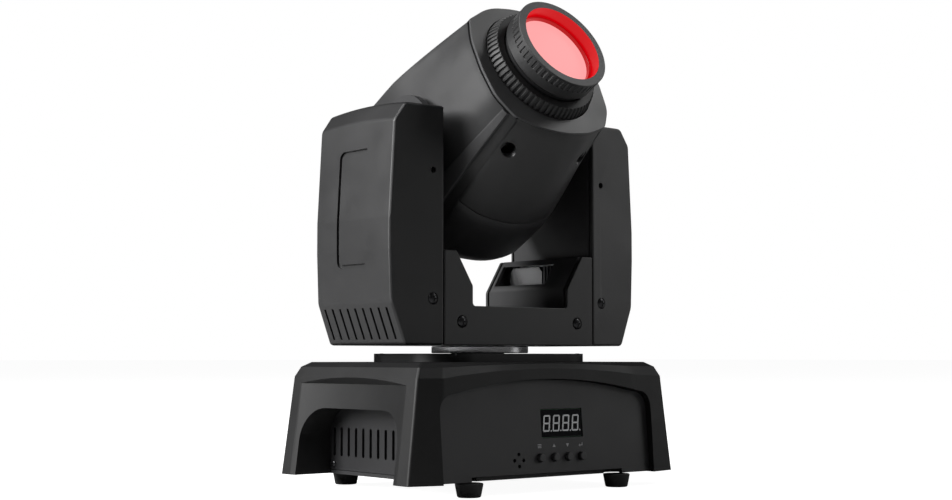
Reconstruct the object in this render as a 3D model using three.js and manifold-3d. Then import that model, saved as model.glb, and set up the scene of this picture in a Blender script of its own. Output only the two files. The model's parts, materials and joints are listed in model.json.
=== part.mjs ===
// Compact moving head light: a base, a two-armed yoke that pans on it,
// and a head that tilts between the arms.
// Millimetres. The origin is on the pan axis at the underside of the base. X runs from arm to arm,
// -Y is the front with the control panel, and +Z is up.
import * as THREE from "three";
import { mergeVertices } from "three/addons/utils/BufferGeometryUtils.js";
import Module from "manifold-3d";

const wasm = await Module();
wasm.setup();

// ---- driving dimensions ----
const GAP = 0.3; // clearance between pieces that touch
const SKIN = 2.5; // wall of the moulded base and head shells
const SHEET = 2; // wall of the yoke covers
const ROUND = 28; // sides of a large round piece
const SMALL_ROUND = 12; // sides of a small round piece

// Base: half sizes of its outline at four heights. The front edge is arched by `arch` at its centre.
const BASE_RINGS = [
  { z: 0, side: 96.6, cornerY: 59.5, facetX: 77.6, front: 65.2, arch: 0 },
  { z: 54.7, side: 89.5, cornerY: 57.9, facetX: 74.5, front: 60.6, arch: 4.7 },
  { z: 60.2, side: 86.6, cornerY: 55.8, facetX: 72, front: 57.4, arch: 1.7 },
  { z: 62.9, side: 82, cornerY: 52, facetX: 70, front: 53, arch: 0 },
];
const BASE_SIDE_WALL = 7.8;
const FRONT_DRAFT = Math.atan2(65.2 - 60.6, 54.7);
const SIDE_DRAFT = Math.atan2(96.6 - 89.5, 54.7);
const RECESS_DEPTH = 5;
const RECESS_RIM = 3;
const RIM_BACK = 54; // the rims round the front and rear openings reach back to this Y
const PANEL_THICK = 2.5;
const PANEL_UNDERCUT = { halfX: 55, top: 2.8 }; // the front panel stops above the bottom plate
const POCKET = { halfY: 46, top: 37.5, corner: 18, wallX: 72.3 };
const SCOOP = { radius: 252.5, depth: 5, top: 47 };
const VENT = { slots: 13, pitch: 7, width: 2.3, low: 9.9, high: 26.3, thick: 2 };
const PLATE_THICK = 2;
const FOOT = { x: 54, y: 56.5, height: 7.7, top: 7.6, bottom: 6.2 };
const BRACKET_HOLE = { x: 53, radius: 3.2 };
const TOP_PLATE = { x: 60, y: 38, corner: 25, low: 63.2, high: 67.6 };

// Pan axis.
const COLLAR = { radius: 27.9, low: 67.9, high: 71.8 };
const PAN_TUBE = { radius: 14, bore: 10, low: 56, high: 90 };
const PAN_PULLEY = { radius: 24, low: 79, high: 86 };
const PAN_MOTOR = { x: -70, size: 28, low: 89, high: 117 };
const PAN_PINION_RADIUS = 7;

// Yoke: outlines in the X-Z plane.
const YOKE_LOW = 72.1;
const SEAM_X = 55;
const YOKE_DEPTH = 36.75; // half depth at the bezels
const ARM_TAPER = 0.053; // the arm covers lose this share of their depth from seam to outer face
const ARM_TOP = 201.1;
const ARM_OUTLINE = [
  [80.3, YOKE_LOW],
  [89.1, 94.9],
  [90.2, 123],
  [90.2, 140],
  [87.3, 191.2],
  [80.2, ARM_TOP],
];
const NOTCH = [
  [34.9, 93.6],
  [34.9, 104.6],
  [46.5, 123.7],
];
const BEZEL_SCREW = { x: 42.6, z: 84.9 };
const ARM_SCREW = { x: 62.4, z: 97 };
const ARM_PEEPHOLE = { z: 166.4, radius: 1.75 };
const SCREW = { head: 3, headHigh: 2, shank: 1.5, long: 8, sink: 1.2 };
const FRAME_PLATE = { x: 58, thick: 2, halfY: 31, top: 198 };
const ARM_VENT = { slots: 9, pitch: 7.2, width: 1.8, low: 75.2, high: 92 };
const WINDOW = { low: 108.5, high: 120.5, rear: 31, front: -14.5 };

// Tilt axis and head. Head pieces are in the head's own frame:
// Z along the optical axis, Y up, X as the yoke's.
const TILT_Z = 189.8;
const OPTIC_TILT = THREE.MathUtils.degToRad(29.55); // optical axis above the horizontal at rest
const OPTIC_Y = 6.3; // the optical axis passes above the tilt axis by this much
const TILT_SHAFT = { radius: 6.5, tip: 4, bore: 2.5, inner: 38.4, step: 62 };
const HUB = { radius: 22.6, inner: 50, outer: 54.6 };
const TILT_PULLEY = { radius: 7, low: 70.5, high: 76 };
const TILT_MOTOR = { y: 15.9, z: 105.4, size: 28.9, inner: 49.5, outer: 68 };
const TILT_PINION_RADIUS = 4;
const BELT_THICK = 1.4;

const HEAD_FRONT_Z = 60;
const HEAD_FRONT = [
  // the round-cornered front edge about the optical axis, its right half from below up
  [0, -44.9],
  [7, -44.5],
  [18.9, -42.5],
  [26.8, -39.8],
  [32, -36.9],
  [36.3, -32.7],
  [39.8, -26.8],
  [42.9, -15.6],
  [43.6, -3],
  [43.4, 6.1],
  [42.6, 14.6],
  [40.8, 23],
  [38.2, 28],
  [33, 31.6],
  [25.1, 37.1],
  [14.8, 40.8],
  [6, 42.3],
  [0, 42.5],
];
// Half outline of the head at its widest, behind the tilt axis, from top centre to bottom centre.
const HEAD_OUTLINE = [
  [0, 50.5],
  [30, 47],
  [46, 41],
  [46.8, 15],
  [46.5, -10],
  [42, -33],
  [36, -47.5],
  [24.6, -55.8],
  [0, -62],
];
const HEAD_STATIONS = [60, 45, 30, 16, 4, -6, -18, -30, -41, -48];
const HEAD_TAIL = { start: -30, end: -48, share: 0.73 }; // the tail closes to this share of the outline
const HEAD_SIDES = 40;
const WELL = { x: 27, z: 44, radius: 4.15 };
const PARTING = { slope: 0.216, level: -44.8, z: 3, tail: -26 };
const CAP = { low: 60.3, high: 63.5, bore: 35.6 };
const COLLAR_RIB = { low: 58, base: 63.5, high: 70.2, radius: 35.2, front: 32.9, bore: 28.2 };
const FOCUS = { back: 44, ring: 73, front: 86, barrel: 27, radius: 29.2, bore: 24.7 };
const LENS = { radius: 22.8, edge: 2, bulge: 3, z: 76 };
const CELL = { low: 70, high: 79, radius: 24.4, bore: 23.1, seat: 20.5 };
const WHEEL = { radius: 25, offset: 17, holes: 8, hole: 5.2, thick: 1.4, hub: 2.2 };
const WHEEL_MOTOR = { radius: 10, length: 13 };
const COLOUR_WHEEL_Z = 19;
const GOBO_WHEEL_Z = 24;
const HEAT_SINK = { x: 27, low: -20, high: 32, back: -36, base: -10, front: -6, fins: 9 };
const FAN = { radius: 21, hub: 8, z: -41.5, thick: 3, blades: 7 };

const BUTTON = { radius: 2.25, proud: 2.4, z: 11, x: [-6.4, 4.2, 14.2, 24.1] };
const DISPLAY = { low: -4.1, high: 26.1, bottom: 21.9, top: 37.2 };
const MIC = { x: -21.5, z: 10.3, hole: 1.1, spread: 3.2 };
const INLET = { x: 48, z: 24, width: 27, high: 20, deep: 18 };
const XLR = { x: [-46, -8], z: 26, radius: 11, bore: 7.5, deep: 16 };

// ---- materials ----
const material = (color, roughness, metalness) =>
  new THREE.MeshStandardMaterial({ color, roughness, metalness });
const BLACK_PLASTIC = material(0x232323, 0.6, 0);
const DARK_PLASTIC = material(0x141414, 0.7, 0);
const RUBBER = material(0x111111, 0.9, 0);
const STEEL = material(0x8d9094, 0.4, 0.9);
const BRIGHT_METAL = material(0xd0d0d0, 0.25, 1);
const BLACK_METAL = material(0x1a1a1a, 0.5, 0.6);
const BOARD_GREEN = material(0x1f4a2c, 0.6, 0);
const GLASS = material(0xffb0a8, 0.05, 0);
const BELT_RUBBER = material(0x0d0d0d, 0.85, 0);
const WHITE_NYLON = material(0xd8d6cf, 0.6, 0);

// ---- from geometry to solid and back ----
const signedVolume = (positions, index) => {
  const [a, b, c] = [new THREE.Vector3(), new THREE.Vector3(), new THREE.Vector3()];
  let volume = 0;
  for (let i = 0; i < index.length; i += 3) {
    a.fromBufferAttribute(positions, index[i]);
    b.fromBufferAttribute(positions, index[i + 1]);
    c.fromBufferAttribute(positions, index[i + 2]);
    volume += a.dot(b.cross(c)) / 6;
  }
  return volume;
};

// A closed geometry as a solid. A geometry whose faces point inwards is turned outwards.
function solid(geometry) {
  const bare = geometry.index ? geometry.toNonIndexed() : geometry;
  const spots = new THREE.BufferGeometry().setAttribute("position", bare.attributes.position);
  const closed = mergeVertices(spots, 1e-3);
  const whole = [];
  for (let i = 0; i < closed.index.count; i += 3) {
    const [a, b, c] = [0, 1, 2].map((k) => closed.index.getX(i + k));
    if (a !== b && b !== c && c !== a) whole.push(a, b, c);
  }
  if (signedVolume(closed.attributes.position, whole) < 0) whole.reverse();
  const vertProperties = new Float32Array(closed.attributes.position.array);
  return new wasm.Manifold(new wasm.Mesh({ numProp: 3, vertProperties, triVerts: new Uint32Array(whole) }));
}

const join = (...solids) => solids.reduce((a, b) => a.add(b));
const cut = (body, ...tools) => tools.reduce((a, b) => a.subtract(b), body);

function addPiece(group, name, body, finish) {
  const mesh = body.getMesh();
  const geometry = new THREE.BufferGeometry();
  geometry.setAttribute("position", new THREE.BufferAttribute(mesh.vertProperties, 3));
  geometry.setIndex(new THREE.BufferAttribute(mesh.triVerts, 1));
  geometry.computeVertexNormals();
  const piece = new THREE.Mesh(geometry, finish);
  piece.name = name;
  group.add(piece);
  return piece;
}

// ---- plain shapes ----
const outline = (points) => new THREE.Shape(points.map(([x, y]) => new THREE.Vector2(x, y)));
const extrude = (shape, depth, curveSegments = 8) =>
  new THREE.ExtrudeGeometry(shape, { depth, bevelEnabled: false, curveSegments });

// A Y-Z outline swept along X, an X-Z outline swept along Y, and an X-Y outline swept along Z.
const swept = (shape, low, high, ...matrix) =>
  solid(extrude(shape, high - low).applyMatrix4(new THREE.Matrix4().set(...matrix)));
const alongX = (shape, low, high) =>
  swept(shape, low, high, 0, 0, 1, low, 1, 0, 0, 0, 0, 1, 0, 0, 0, 0, 0, 1);
const alongY = (shape, low, high) =>
  swept(shape, low, high, 1, 0, 0, 0, 0, 0, -1, high, 0, 1, 0, 0, 0, 0, 0, 1);
const alongZ = (shape, low, high) => solid(extrude(shape, high - low).translate(0, 0, low));

function block([x0, x1], [y0, y1], [z0, z1]) {
  const box = new THREE.BoxGeometry(x1 - x0, y1 - y0, z1 - z0);
  return solid(box.translate((x0 + x1) / 2, (y0 + y1) / 2, (z0 + z1) / 2));
}

// A profile of [radius, height] points turned about Z, and the same about X or Y.
const lathe = (profile, sides) =>
  new THREE.LatheGeometry(profile.map(([r, h]) => new THREE.Vector2(r, h)), sides);
const turnedZ = (profile, sides = ROUND) => solid(lathe(profile, sides).rotateX(Math.PI / 2));
const turnedX = (profile, sides = ROUND) => solid(lathe(profile, sides).rotateZ(-Math.PI / 2));
const turnedY = (profile, sides = SMALL_ROUND) => solid(lathe(profile, sides));
const rodProfile = (radius, low, high) => [
  [0, low],
  [radius, low],
  [radius, high],
  [0, high],
];
const tubeProfile = (radius, bore, low, high) => [
  [bore, low],
  [radius, low],
  [radius, high],
  [bore, high],
  [bore, low],
];

function roundedRectangle(halfX, halfY, corner) {
  const shape = new THREE.Shape();
  shape.moveTo(halfX, -halfY + corner);
  shape.absarc(halfX - corner, halfY - corner, corner, 0, Math.PI / 2);
  shape.absarc(-halfX + corner, halfY - corner, corner, Math.PI / 2, Math.PI);
  shape.absarc(-halfX + corner, -halfY + corner, corner, Math.PI, 1.5 * Math.PI);
  shape.absarc(halfX - corner, -halfY + corner, corner, 1.5 * Math.PI, 2 * Math.PI);
  return shape;
}

// A closed skin through rings of equal point counts, with flat ends.
function loft(rings) {
  const corners = rings.flat().flatMap((p) => p.toArray());
  const sides = rings[0].length;
  const index = [];
  for (let r = 0; r < rings.length - 1; r++) {
    for (let k = 0; k < sides; k++) {
      const [a, b] = [r * sides + k, r * sides + ((k + 1) % sides)];
      index.push(a, b, b + sides, a, b + sides, a + sides);
    }
  }
  const last = (rings.length - 1) * sides;
  for (let k = 1; k < sides - 1; k++) {
    index.push(0, k + 1, k);
    index.push(last, last + k, last + k + 1);
  }
  const geometry = new THREE.BufferGeometry();
  geometry.setAttribute("position", new THREE.Float32BufferAttribute(corners, 3));
  geometry.setIndex(index);
  return geometry;
}

// A loop round two circles, as a belt runs: its outside, with its inside as a hole.
function beltOutline(from, fromRadius, to, toRadius) {
  const reach = to.clone().sub(from);
  const swing = Math.acos((fromRadius - toRadius) / reach.length());
  const loop = (path, grow) => {
    const last = reach.angle() - swing + 2 * Math.PI;
    path.absarc(from.x, from.y, fromRadius + grow, reach.angle() + swing, last);
    path.absarc(to.x, to.y, toRadius + grow, reach.angle() - swing, reach.angle() + swing);
    path.closePath();
    return path;
  };
  const belt = loop(new THREE.Shape(), BELT_THICK + GAP);
  belt.holes.push(loop(new THREE.Path(), GAP));
  return belt;
}

const pulley = (radius, low, high, bore) => [
  [bore, low - 1],
  [radius + 2, low - 1],
  [radius + 2, low],
  [radius, low],
  [radius, high],
  [radius + 2, high],
  [radius + 2, high + 1],
  [bore, high + 1],
  [bore, low - 1],
];

// ---- base ----
function baseRing({ z, side, cornerY, facetX, front, arch }, inset = 0, sideInset = inset, drop = 0) {
  const steps = 8;
  const edge = (sign) =>
    Array.from({ length: steps + 1 }, (_, k) => {
      const x = sign * (facetX - sideInset * 0.3) * (1 - (2 * k) / steps);
      const rise = arch * (1 - (x / facetX) ** 2);
      return new THREE.Vector3(x, sign * (front - inset), z + rise - drop);
    });
  const sideEdge = (sign) =>
    [-sign, sign].map(
      (end) => new THREE.Vector3(sign * (side - sideInset), end * (cornerY - inset), z - drop),
    );
  return [...sideEdge(1), ...edge(1), ...sideEdge(-1), ...edge(-1)];
}

const baseOutside = () => solid(loft(BASE_RINGS.map((ring) => baseRing(ring))));

function baseInside() {
  const rings = BASE_RINGS.map((ring) => baseRing(ring, SKIN, BASE_SIDE_WALL, ring.z ? SKIN : 1));
  return solid(loft(rings));
}

// The arched outline of the front and rear openings, `grow` larger all round.
function archOutline(grow, floor) {
  const [edge, shoulder, peak, bend] = [BASE_RINGS[0].facetX + grow, 46 + grow, 53.5 + grow, 10];
  const shape = new THREE.Shape();
  shape.moveTo(-edge, floor);
  shape.lineTo(edge, floor);
  shape.lineTo(edge, shoulder - bend);
  shape.quadraticCurveTo(edge, shoulder, edge - bend, shoulder + 0.6);
  shape.quadraticCurveTo(0, 2 * peak - shoulder, -edge + bend, shoulder + 0.6);
  shape.quadraticCurveTo(-edge, shoulder, -edge, shoulder - bend);
  return shape;
}

// The arch of a hand pocket in the Y-Z plane, `grow` larger all round and open at the bottom.
function pocketOutline(grow) {
  const { halfY, top, corner } = POCKET;
  const shape = new THREE.Shape();
  shape.moveTo(-halfY - grow, -1);
  shape.lineTo(halfY + grow, -1);
  shape.absarc(halfY - corner, top - corner, corner + grow, 0, Math.PI / 2);
  shape.absarc(-halfY + corner, top - corner, corner + grow, Math.PI / 2, Math.PI);
  return shape;
}

function scoop(sign) {
  const { radius, depth, top } = SCOOP;
  const profile = [
    [0, -8],
    [radius, -8],
    [radius, top],
    [radius - 2 * depth, top + 2 * depth],
    [0, top + 2 * depth],
  ];
  const disc = lathe(profile, 5 * ROUND).rotateX(Math.PI / 2).rotateY(-sign * SIDE_DRAFT);
  return solid(disc.translate(sign * (BASE_RINGS[0].side + radius - depth), 0, 0));
}

function makeBaseShell() {
  const outside = baseOutside();
  const { wallX } = POCKET;
  const far = BASE_RINGS[0].side + 4;
  let shell = cut(outside, baseInside());
  for (const sign of [-1, 1]) {
    const [low, high] = sign > 0 ? [wallX, far] : [-far, -wallX];
    shell = join(shell, alongX(pocketOutline(SKIN), low, high).intersect(outside));
    const [frameLow, frameHigh] = sign > 0 ? [RIM_BACK, 66] : [-66, -RIM_BACK];
    shell = join(shell, alongY(archOutline(RECESS_RIM, -1), frameLow, frameHigh).intersect(outside));
  }
  for (const sign of [-1, 1]) {
    const [low, high] = sign > 0 ? [wallX - 1, far] : [-far, 1 - wallX];
    shell = cut(shell, alongX(pocketOutline(0), low, high), scoop(sign));
    const [frontLow, frontHigh] = sign > 0 ? [52, 70] : [-70, -52];
    shell = cut(shell, alongY(archOutline(0, -2), frontLow, frontHigh));
  }
  const underside = block([-120, 120], [-90, 90], [-20, 0]);
  return cut(shell, underside, turnedZ(rodProfile(PAN_TUBE.radius + 1, 50, 70)));
}

function ventPanel(sign) {
  const { wallX } = POCKET;
  const near = wallX - GAP - VENT.thick;
  const [low, high] = sign > 0 ? [near, near + VENT.thick] : [-near - VENT.thick, -near];
  const shape = pocketOutline(SKIN - GAP);
  const slots = Array.from({ length: VENT.slots }, (_, k) => {
    const y = (k - (VENT.slots - 1) / 2) * VENT.pitch;
    return block([low - 1, high + 1], [y - VENT.width / 2, y + VENT.width / 2], [VENT.low, VENT.high]);
  });
  return cut(alongX(shape, low, high), block([-100, 100], [-90, 90], [-5, PLATE_THICK + GAP]), ...slots);
}

function makeBottomPlate() {
  const ring = baseRing(BASE_RINGS[0], SKIN + 2 * GAP, BASE_SIDE_WALL + 2 * GAP);
  const plate = alongZ(outline(ring.map((p) => [p.x, p.y])), 0, PLATE_THICK);
  const pocketEdge = POCKET.halfY + SKIN + GAP;
  const notch = (low, high) => block([low, high], [-pocketEdge, pocketEdge], [-1, PLATE_THICK + 1]);
  const inner = POCKET.wallX - GAP;
  const panelEdge = RIM_BACK - GAP;
  const lip = (low, high) => block([-100, 100], [low, high], [-1, PLATE_THICK + 1]);
  const hole = (radius, x, y) => turnedZ(rodProfile(radius, -1, PLATE_THICK + 1), 24).translate([x, y, 0]);
  const bracketHoles = [-BRACKET_HOLE.x, BRACKET_HOLE.x].map((x) => hole(BRACKET_HOLE.radius, x, 0));
  const footHole = (x, y) => hole(FOOT.top + GAP, x, y);
  const footHoles = [-FOOT.x, FOOT.x].flatMap((x) => [footHole(x, -FOOT.y), footHole(x, FOOT.y)]);
  const sides = [notch(inner, 110), notch(-110, -inner)];
  const ends = [lip(-90, -panelEdge), lip(panelEdge, 90)];
  return cut(plate, ...sides, ...ends, ...bracketHoles, ...footHoles);
}

const makeFoot = (x, y) =>
  turnedZ(
    [
      [0, -FOOT.height],
      [FOOT.bottom, -FOOT.height],
      [FOOT.top, -GAP],
      [0, -GAP],
    ],
    24,
  ).translate([x, y, 0]);

function makeTopPlate() {
  const { x, y, corner, low, high } = TOP_PLATE;
  const plate = alongZ(roundedRectangle(x, y, corner), low, high);
  return cut(plate, turnedZ(rodProfile(PAN_TUBE.radius + 1, 60, 70)));
}

const makePanShaft = () =>
  turnedZ([
    [PAN_TUBE.bore, PAN_TUBE.low],
    [PAN_TUBE.radius + 6, PAN_TUBE.low],
    [PAN_TUBE.radius + 6, PAN_TUBE.low + 3],
    [PAN_TUBE.radius, PAN_TUBE.low + 3],
    [PAN_TUBE.radius, COLLAR.low],
    [COLLAR.radius, COLLAR.low],
    [COLLAR.radius, COLLAR.high],
    [PAN_TUBE.radius, COLLAR.high],
    [PAN_TUBE.radius, PAN_TUBE.high],
    [PAN_TUBE.bore, PAN_TUBE.high],
    [PAN_TUBE.bore, PAN_TUBE.low],
  ]);

// Panels stand in their own frame: outer face at y = 0, facing -Y, and z up the face.
function panelPlate() {
  const shape = archOutline(-GAP, GAP);
  return alongY(shape, 0, PANEL_THICK);
}

function makeFrontPanel() {
  const through = [-1, PANEL_THICK + 1];
  const { low, high, bottom, top } = DISPLAY;
  const window = block([low - GAP, high + GAP], through, [bottom - GAP, top + GAP]);
  const underCut = block([-PANEL_UNDERCUT.halfX, PANEL_UNDERCUT.halfX], through, [-1, PANEL_UNDERCUT.top]);
  const hole = (radius, x, z) => turnedY(rodProfile(radius, ...through)).translate([x, 0, z]);
  const buttonHoles = BUTTON.x.map((x) => hole(BUTTON.radius + GAP, x, BUTTON.z));
  const micHoles = [
    [1, 0],
    [-1, 0],
    [0, 1],
    [0, -1],
  ].map(([x, z]) => hole(MIC.hole, MIC.x + x * MIC.spread, MIC.z + z * MIC.spread));
  return cut(panelPlate(), window, underCut, ...buttonHoles, ...micHoles);
}

function makeControlBoard() {
  const board = block([-44, 44], [7.2, 8.8], [5, 44]);
  const display = block([DISPLAY.low, DISPLAY.high], [0.6, 7.4], [DISPLAY.bottom, DISPLAY.top]);
  const microphone = turnedY(rodProfile(4.6, 3.4, 7.4)).translate([MIC.x, 0, MIC.z]);
  return join(board, display, microphone);
}

const makeButton = (x) =>
  turnedY([
    [0, -BUTTON.proud],
    [BUTTON.radius, -BUTTON.proud],
    [BUTTON.radius, PANEL_THICK + GAP],
    [BUTTON.radius + 1.2, PANEL_THICK + GAP],
    [BUTTON.radius + 1.2, PANEL_THICK + 1.5],
    [0, PANEL_THICK + 1.5],
  ]).translate([x, 0, BUTTON.z]);

const INLET_FLANGE = 2.5;
function makeRearPanel() {
  const through = [-1, PANEL_THICK + 1];
  const half = INLET.width / 2 + GAP;
  const rise = INLET.high / 2 + GAP;
  const inlet = block([INLET.x - half, INLET.x + half], through, [INLET.z - rise, INLET.z + rise]);
  const bore = rodProfile(XLR.radius + GAP, ...through);
  const sockets = XLR.x.map((x) => turnedY(bore, 32).translate([x, 0, XLR.z]));
  return cut(panelPlate(), inlet, ...sockets);
}

function makePowerInlet() {
  const { x, z, width, high, deep } = INLET;
  const span = (half) => [x - half, x + half];
  const rise = (half) => [z - half, z + half];
  const flange = block(span(width / 2 + INLET_FLANGE), [-2, -GAP], rise(high / 2 + INLET_FLANGE));
  const body = block(span(width / 2), [-1, deep], rise(high / 2));
  const cavity = block(span(width / 2 - 2), [-3, deep - 3], rise(high / 2 - 2));
  const pin = (px, pz) => block([px - 1, px + 1], [3, deep - 2], [pz - 2, pz + 2]);
  return join(cut(join(flange, body), cavity), pin(x - 7, z - 2), pin(x, z + 2), pin(x + 7, z - 2));
}

function makeDmxSocket(x, male) {
  const flange = block([x - 13, x + 13], [-2, -GAP], [XLR.z - 15.5, XLR.z + 15.5]);
  const barrel = turnedY(rodProfile(XLR.radius, -1, XLR.deep), 32).translate([x, 0, XLR.z]);
  const cavity = turnedY(rodProfile(XLR.bore, -3, XLR.deep - 3), 32).translate([x, 0, XLR.z]);
  const places = [
    [-3.5, 1.5],
    [3.5, 1.5],
    [0, -3.5],
  ];
  const contact = (radius, low, high) =>
    places.map(([px, pz]) => turnedY(rodProfile(radius, low, high), 8).translate([x + px, 0, XLR.z + pz]));
  const cup = cut(join(flange, barrel), cavity);
  if (male) return join(cup, ...contact(1.2, 2, XLR.deep - 2));
  const insert = turnedY(rodProfile(XLR.bore - 2, 2, XLR.deep - 2), 32).translate([x, 0, XLR.z]);
  return join(cup, cut(insert, ...contact(1.4, -1, 8)));
}

function makePowerSupply() {
  const tray = block([-62, -14], [-30, 38], [3, 5]);
  const transformer = block([-56, -34], [-22, 4], [4.5, 32]);
  const capacitor = turnedZ(rodProfile(8, 4.5, 34), 24).translate([-24, -14, 0]);
  const sink = block([-58, -20], [24, 28], [4.5, 36]);
  return join(tray, transformer, capacitor, sink);
}

// ---- yoke ----
const arms = (points, sign) => points.map(([x, z]) => [sign * x, z]);

function makeBezel(sign) {
  const edge = SEAM_X - GAP / 2;
  const half = [[edge, YOKE_LOW], [edge, NOTCH[2][1]], NOTCH[2], NOTCH[1], NOTCH[0]];
  const shape = outline([...half, ...arms(half, -1).reverse()]);
  const [outer, inner] = [YOKE_DEPTH, YOKE_DEPTH - SHEET];
  const plate = sign < 0 ? alongY(shape, -outer, -inner) : alongY(shape, inner, outer);
  return cut(plate, ...[-1, 1].map((side) => screwHole(side * BEZEL_SCREW.x, sign, BEZEL_SCREW.z, outer)));
}

// A hole through a cover's front or rear wall with a sunk seat for a screw head.
function screwHole(x, sign, z, face) {
  const seat = face - SCREW.sink;
  const profile = [
    [0, face - 6],
    [SCREW.shank + GAP, face - 6],
    [SCREW.shank + GAP, seat],
    [SCREW.head + GAP, seat],
    [SCREW.head + GAP, face + 2],
    [0, face + 2],
  ];
  return facing(profile, sign).translate([x, 0, z]);
}

const facing = (profile, sign) =>
  solid(lathe(profile.map(([r, h]) => [r, sign * h]), SMALL_ROUND));

function makeScrew(x, sign, z, face) {
  const seat = face - SCREW.sink + GAP;
  const profile = [
    [0, seat - SCREW.long],
    [SCREW.shank, seat - SCREW.long],
    [SCREW.shank, seat],
    [SCREW.head, seat],
    [SCREW.head - 0.4, seat + SCREW.headHigh],
    [0, seat + SCREW.headHigh],
  ];
  return facing(profile, sign).translate([x, 0, z]);
}

// Arm covers lose depth towards their outer face.
function taperedArm(points, halfDepth) {
  const geometry = extrude(outline(points), 2 * halfDepth);
  const matrix = new THREE.Matrix4().set(1, 0, 0, 0, 0, 0, -1, halfDepth, 0, 1, 0, 0, 0, 0, 0, 1);
  geometry.applyMatrix4(matrix);
  const spots = geometry.attributes.position;
  for (let i = 0; i < spots.count; i++) {
    const outward = Math.max(0, Math.abs(spots.getX(i)) - SEAM_X) / (90.2 - SEAM_X);
    spots.setY(i, spots.getY(i) * (1 - ARM_TAPER * outward));
  }
  return solid(geometry);
}

function makeArmCover(sign) {
  const seam = SEAM_X + GAP / 2;
  const outside = [[seam, YOKE_LOW], ...ARM_OUTLINE, [seam, ARM_TOP]];
  const ends = [
    [seam - 5, YOKE_LOW + SHEET],
    [seam - 5, ARM_TOP - SHEET],
  ];
  const inside = [ends[0], ...ARM_OUTLINE, ends[1]].map(([x, z], k, all) => {
    const bound = k === 0 || k === all.length - 1;
    const low = z < ARM_OUTLINE[1][1] && !bound ? SHEET : 0;
    const high = z > ARM_OUTLINE[4][1] && !bound ? SHEET : 0;
    return [bound ? x : x - SHEET, z + low - high];
  });
  const body = taperedArm(arms(outside, sign), YOKE_DEPTH);
  let cover = cut(body, taperedArm(arms(inside, sign), YOKE_DEPTH - SHEET));
  for (const face of [-1, 1]) {
    cover = cut(cover, screwHole(sign * ARM_SCREW.x, face, ARM_SCREW.z, armFace(ARM_SCREW.x)));
    const peephole = rodProfile(ARM_PEEPHOLE.radius, YOKE_DEPTH - 5, YOKE_DEPTH + 2);
    cover = cut(cover, facing(peephole, face).translate([sign * ARM_SCREW.x, 0, ARM_PEEPHOLE.z]));
  }
  const { slots, pitch, width, low, high } = ARM_VENT;
  const reach = sign > 0 ? [76, 95] : [-95, -76];
  const vents = Array.from({ length: slots }, (_, k) => {
    const y = (k - (slots - 1) / 2) * pitch;
    return block(reach, [y - width / 2, y + width / 2], [low, high]);
  });
  return cut(cover, ...vents);
}

const armFace = (x) => YOKE_DEPTH * (1 - (ARM_TAPER * (x - SEAM_X)) / (90.2 - SEAM_X));

// The channel under the head: it follows the notch, then rises as the arm's inner wall.
function makeInnerCover(sign) {
  const [foot, knee, shoulder] = NOTCH;
  const top = ARM_TOP - SHEET - GAP;
  const skin = [
    [GAP / 2, foot[1]],
    foot,
    knee,
    shoulder,
    [SEAM_X, shoulder[1]],
    [SEAM_X, top],
    [SEAM_X + SHEET, top],
    [SEAM_X + SHEET, shoulder[1] - SHEET],
    [shoulder[0] + 1.2, shoulder[1] - SHEET],
    [knee[0] + SHEET, knee[1] - 0.6],
    [foot[0] + SHEET, foot[1] - SHEET],
    [GAP / 2, foot[1] - SHEET],
  ];
  const depth = YOKE_DEPTH - SHEET - GAP - 1.2;
  let cover = alongY(outline(arms(skin, sign)), -depth, depth);
  const shaftHole = turnedX(rodProfile(TILT_SHAFT.radius + 0.5, 50, 60)).translate([0, 0, TILT_Z]);
  cover = cut(cover, sign > 0 ? shaftHole : shaftHole.mirror([1, 0, 0]));
  const centreHole = turnedZ(rodProfile(PAN_TUBE.bore, 80, 100), 24);
  cover = cut(cover, centreHole);
  if (sign < 0) return cover;
  return cut(cover, block([34, 52.5], [WINDOW.front, WINDOW.rear], [WINDOW.low, WINDOW.high]));
}

function makeYokeBasePlate() {
  const shape = outline([
    [-76, -33],
    [76, -33],
    [76, 33],
    [-76, 33],
  ]);
  const plate = alongZ(shape, YOKE_LOW + SHEET + GAP, YOKE_LOW + SHEET + GAP + 2);
  const guard = block([-54, 54], [-34, 34], [YOKE_LOW + GAP, YOKE_LOW + SHEET + GAP + 1]);
  return cut(join(plate, guard), turnedZ(rodProfile(PAN_TUBE.radius + 0.5, 70, 80)));
}

function makeFramePlate(sign) {
  const { x, thick, halfY, top } = FRAME_PLATE;
  const low = YOKE_LOW + SHEET + 2 + 2 * GAP;
  const span = sign > 0 ? [x, x + thick] : [-x - thick, -x];
  const sheet = block(span, [-halfY, halfY], [low, top]);
  const reach = [span[0] - 1, span[1] + 1];
  const bore = turnedX(rodProfile(TILT_SHAFT.radius + 0.5, -1, 1 + thick)).translate([span[0], 0, TILT_Z]);
  if (sign < 0) return cut(sheet, bore, block(reach, [-26, 26], [low - 1, 120]));
  const { y, z, size } = TILT_MOTOR;
  const half = size / 2 + GAP;
  const seat = block(reach, [y - half, y + half], [z - half, z + half]);
  return cut(sheet, bore, seat);
}

// Square stepper motors with chamfered corners, and the drive's belt.
function motorOutline(size) {
  const [half, trim] = [size / 2, 3];
  return outline([
    [half, -half + trim],
    [half, half - trim],
    [half - trim, half],
    [-half + trim, half],
    [-half, half - trim],
    [-half, -half + trim],
    [-half + trim, -half],
    [half - trim, -half],
  ]);
}

function makePanMotor() {
  const { x, size, low, high } = PAN_MOTOR;
  const shaft = turnedZ(rodProfile(2, PAN_PULLEY.low - 2, low + 1), SMALL_ROUND).translate([x, 0, 0]);
  return join(alongZ(motorOutline(size), low, high).translate([x, 0, 0]), shaft);
}

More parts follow.
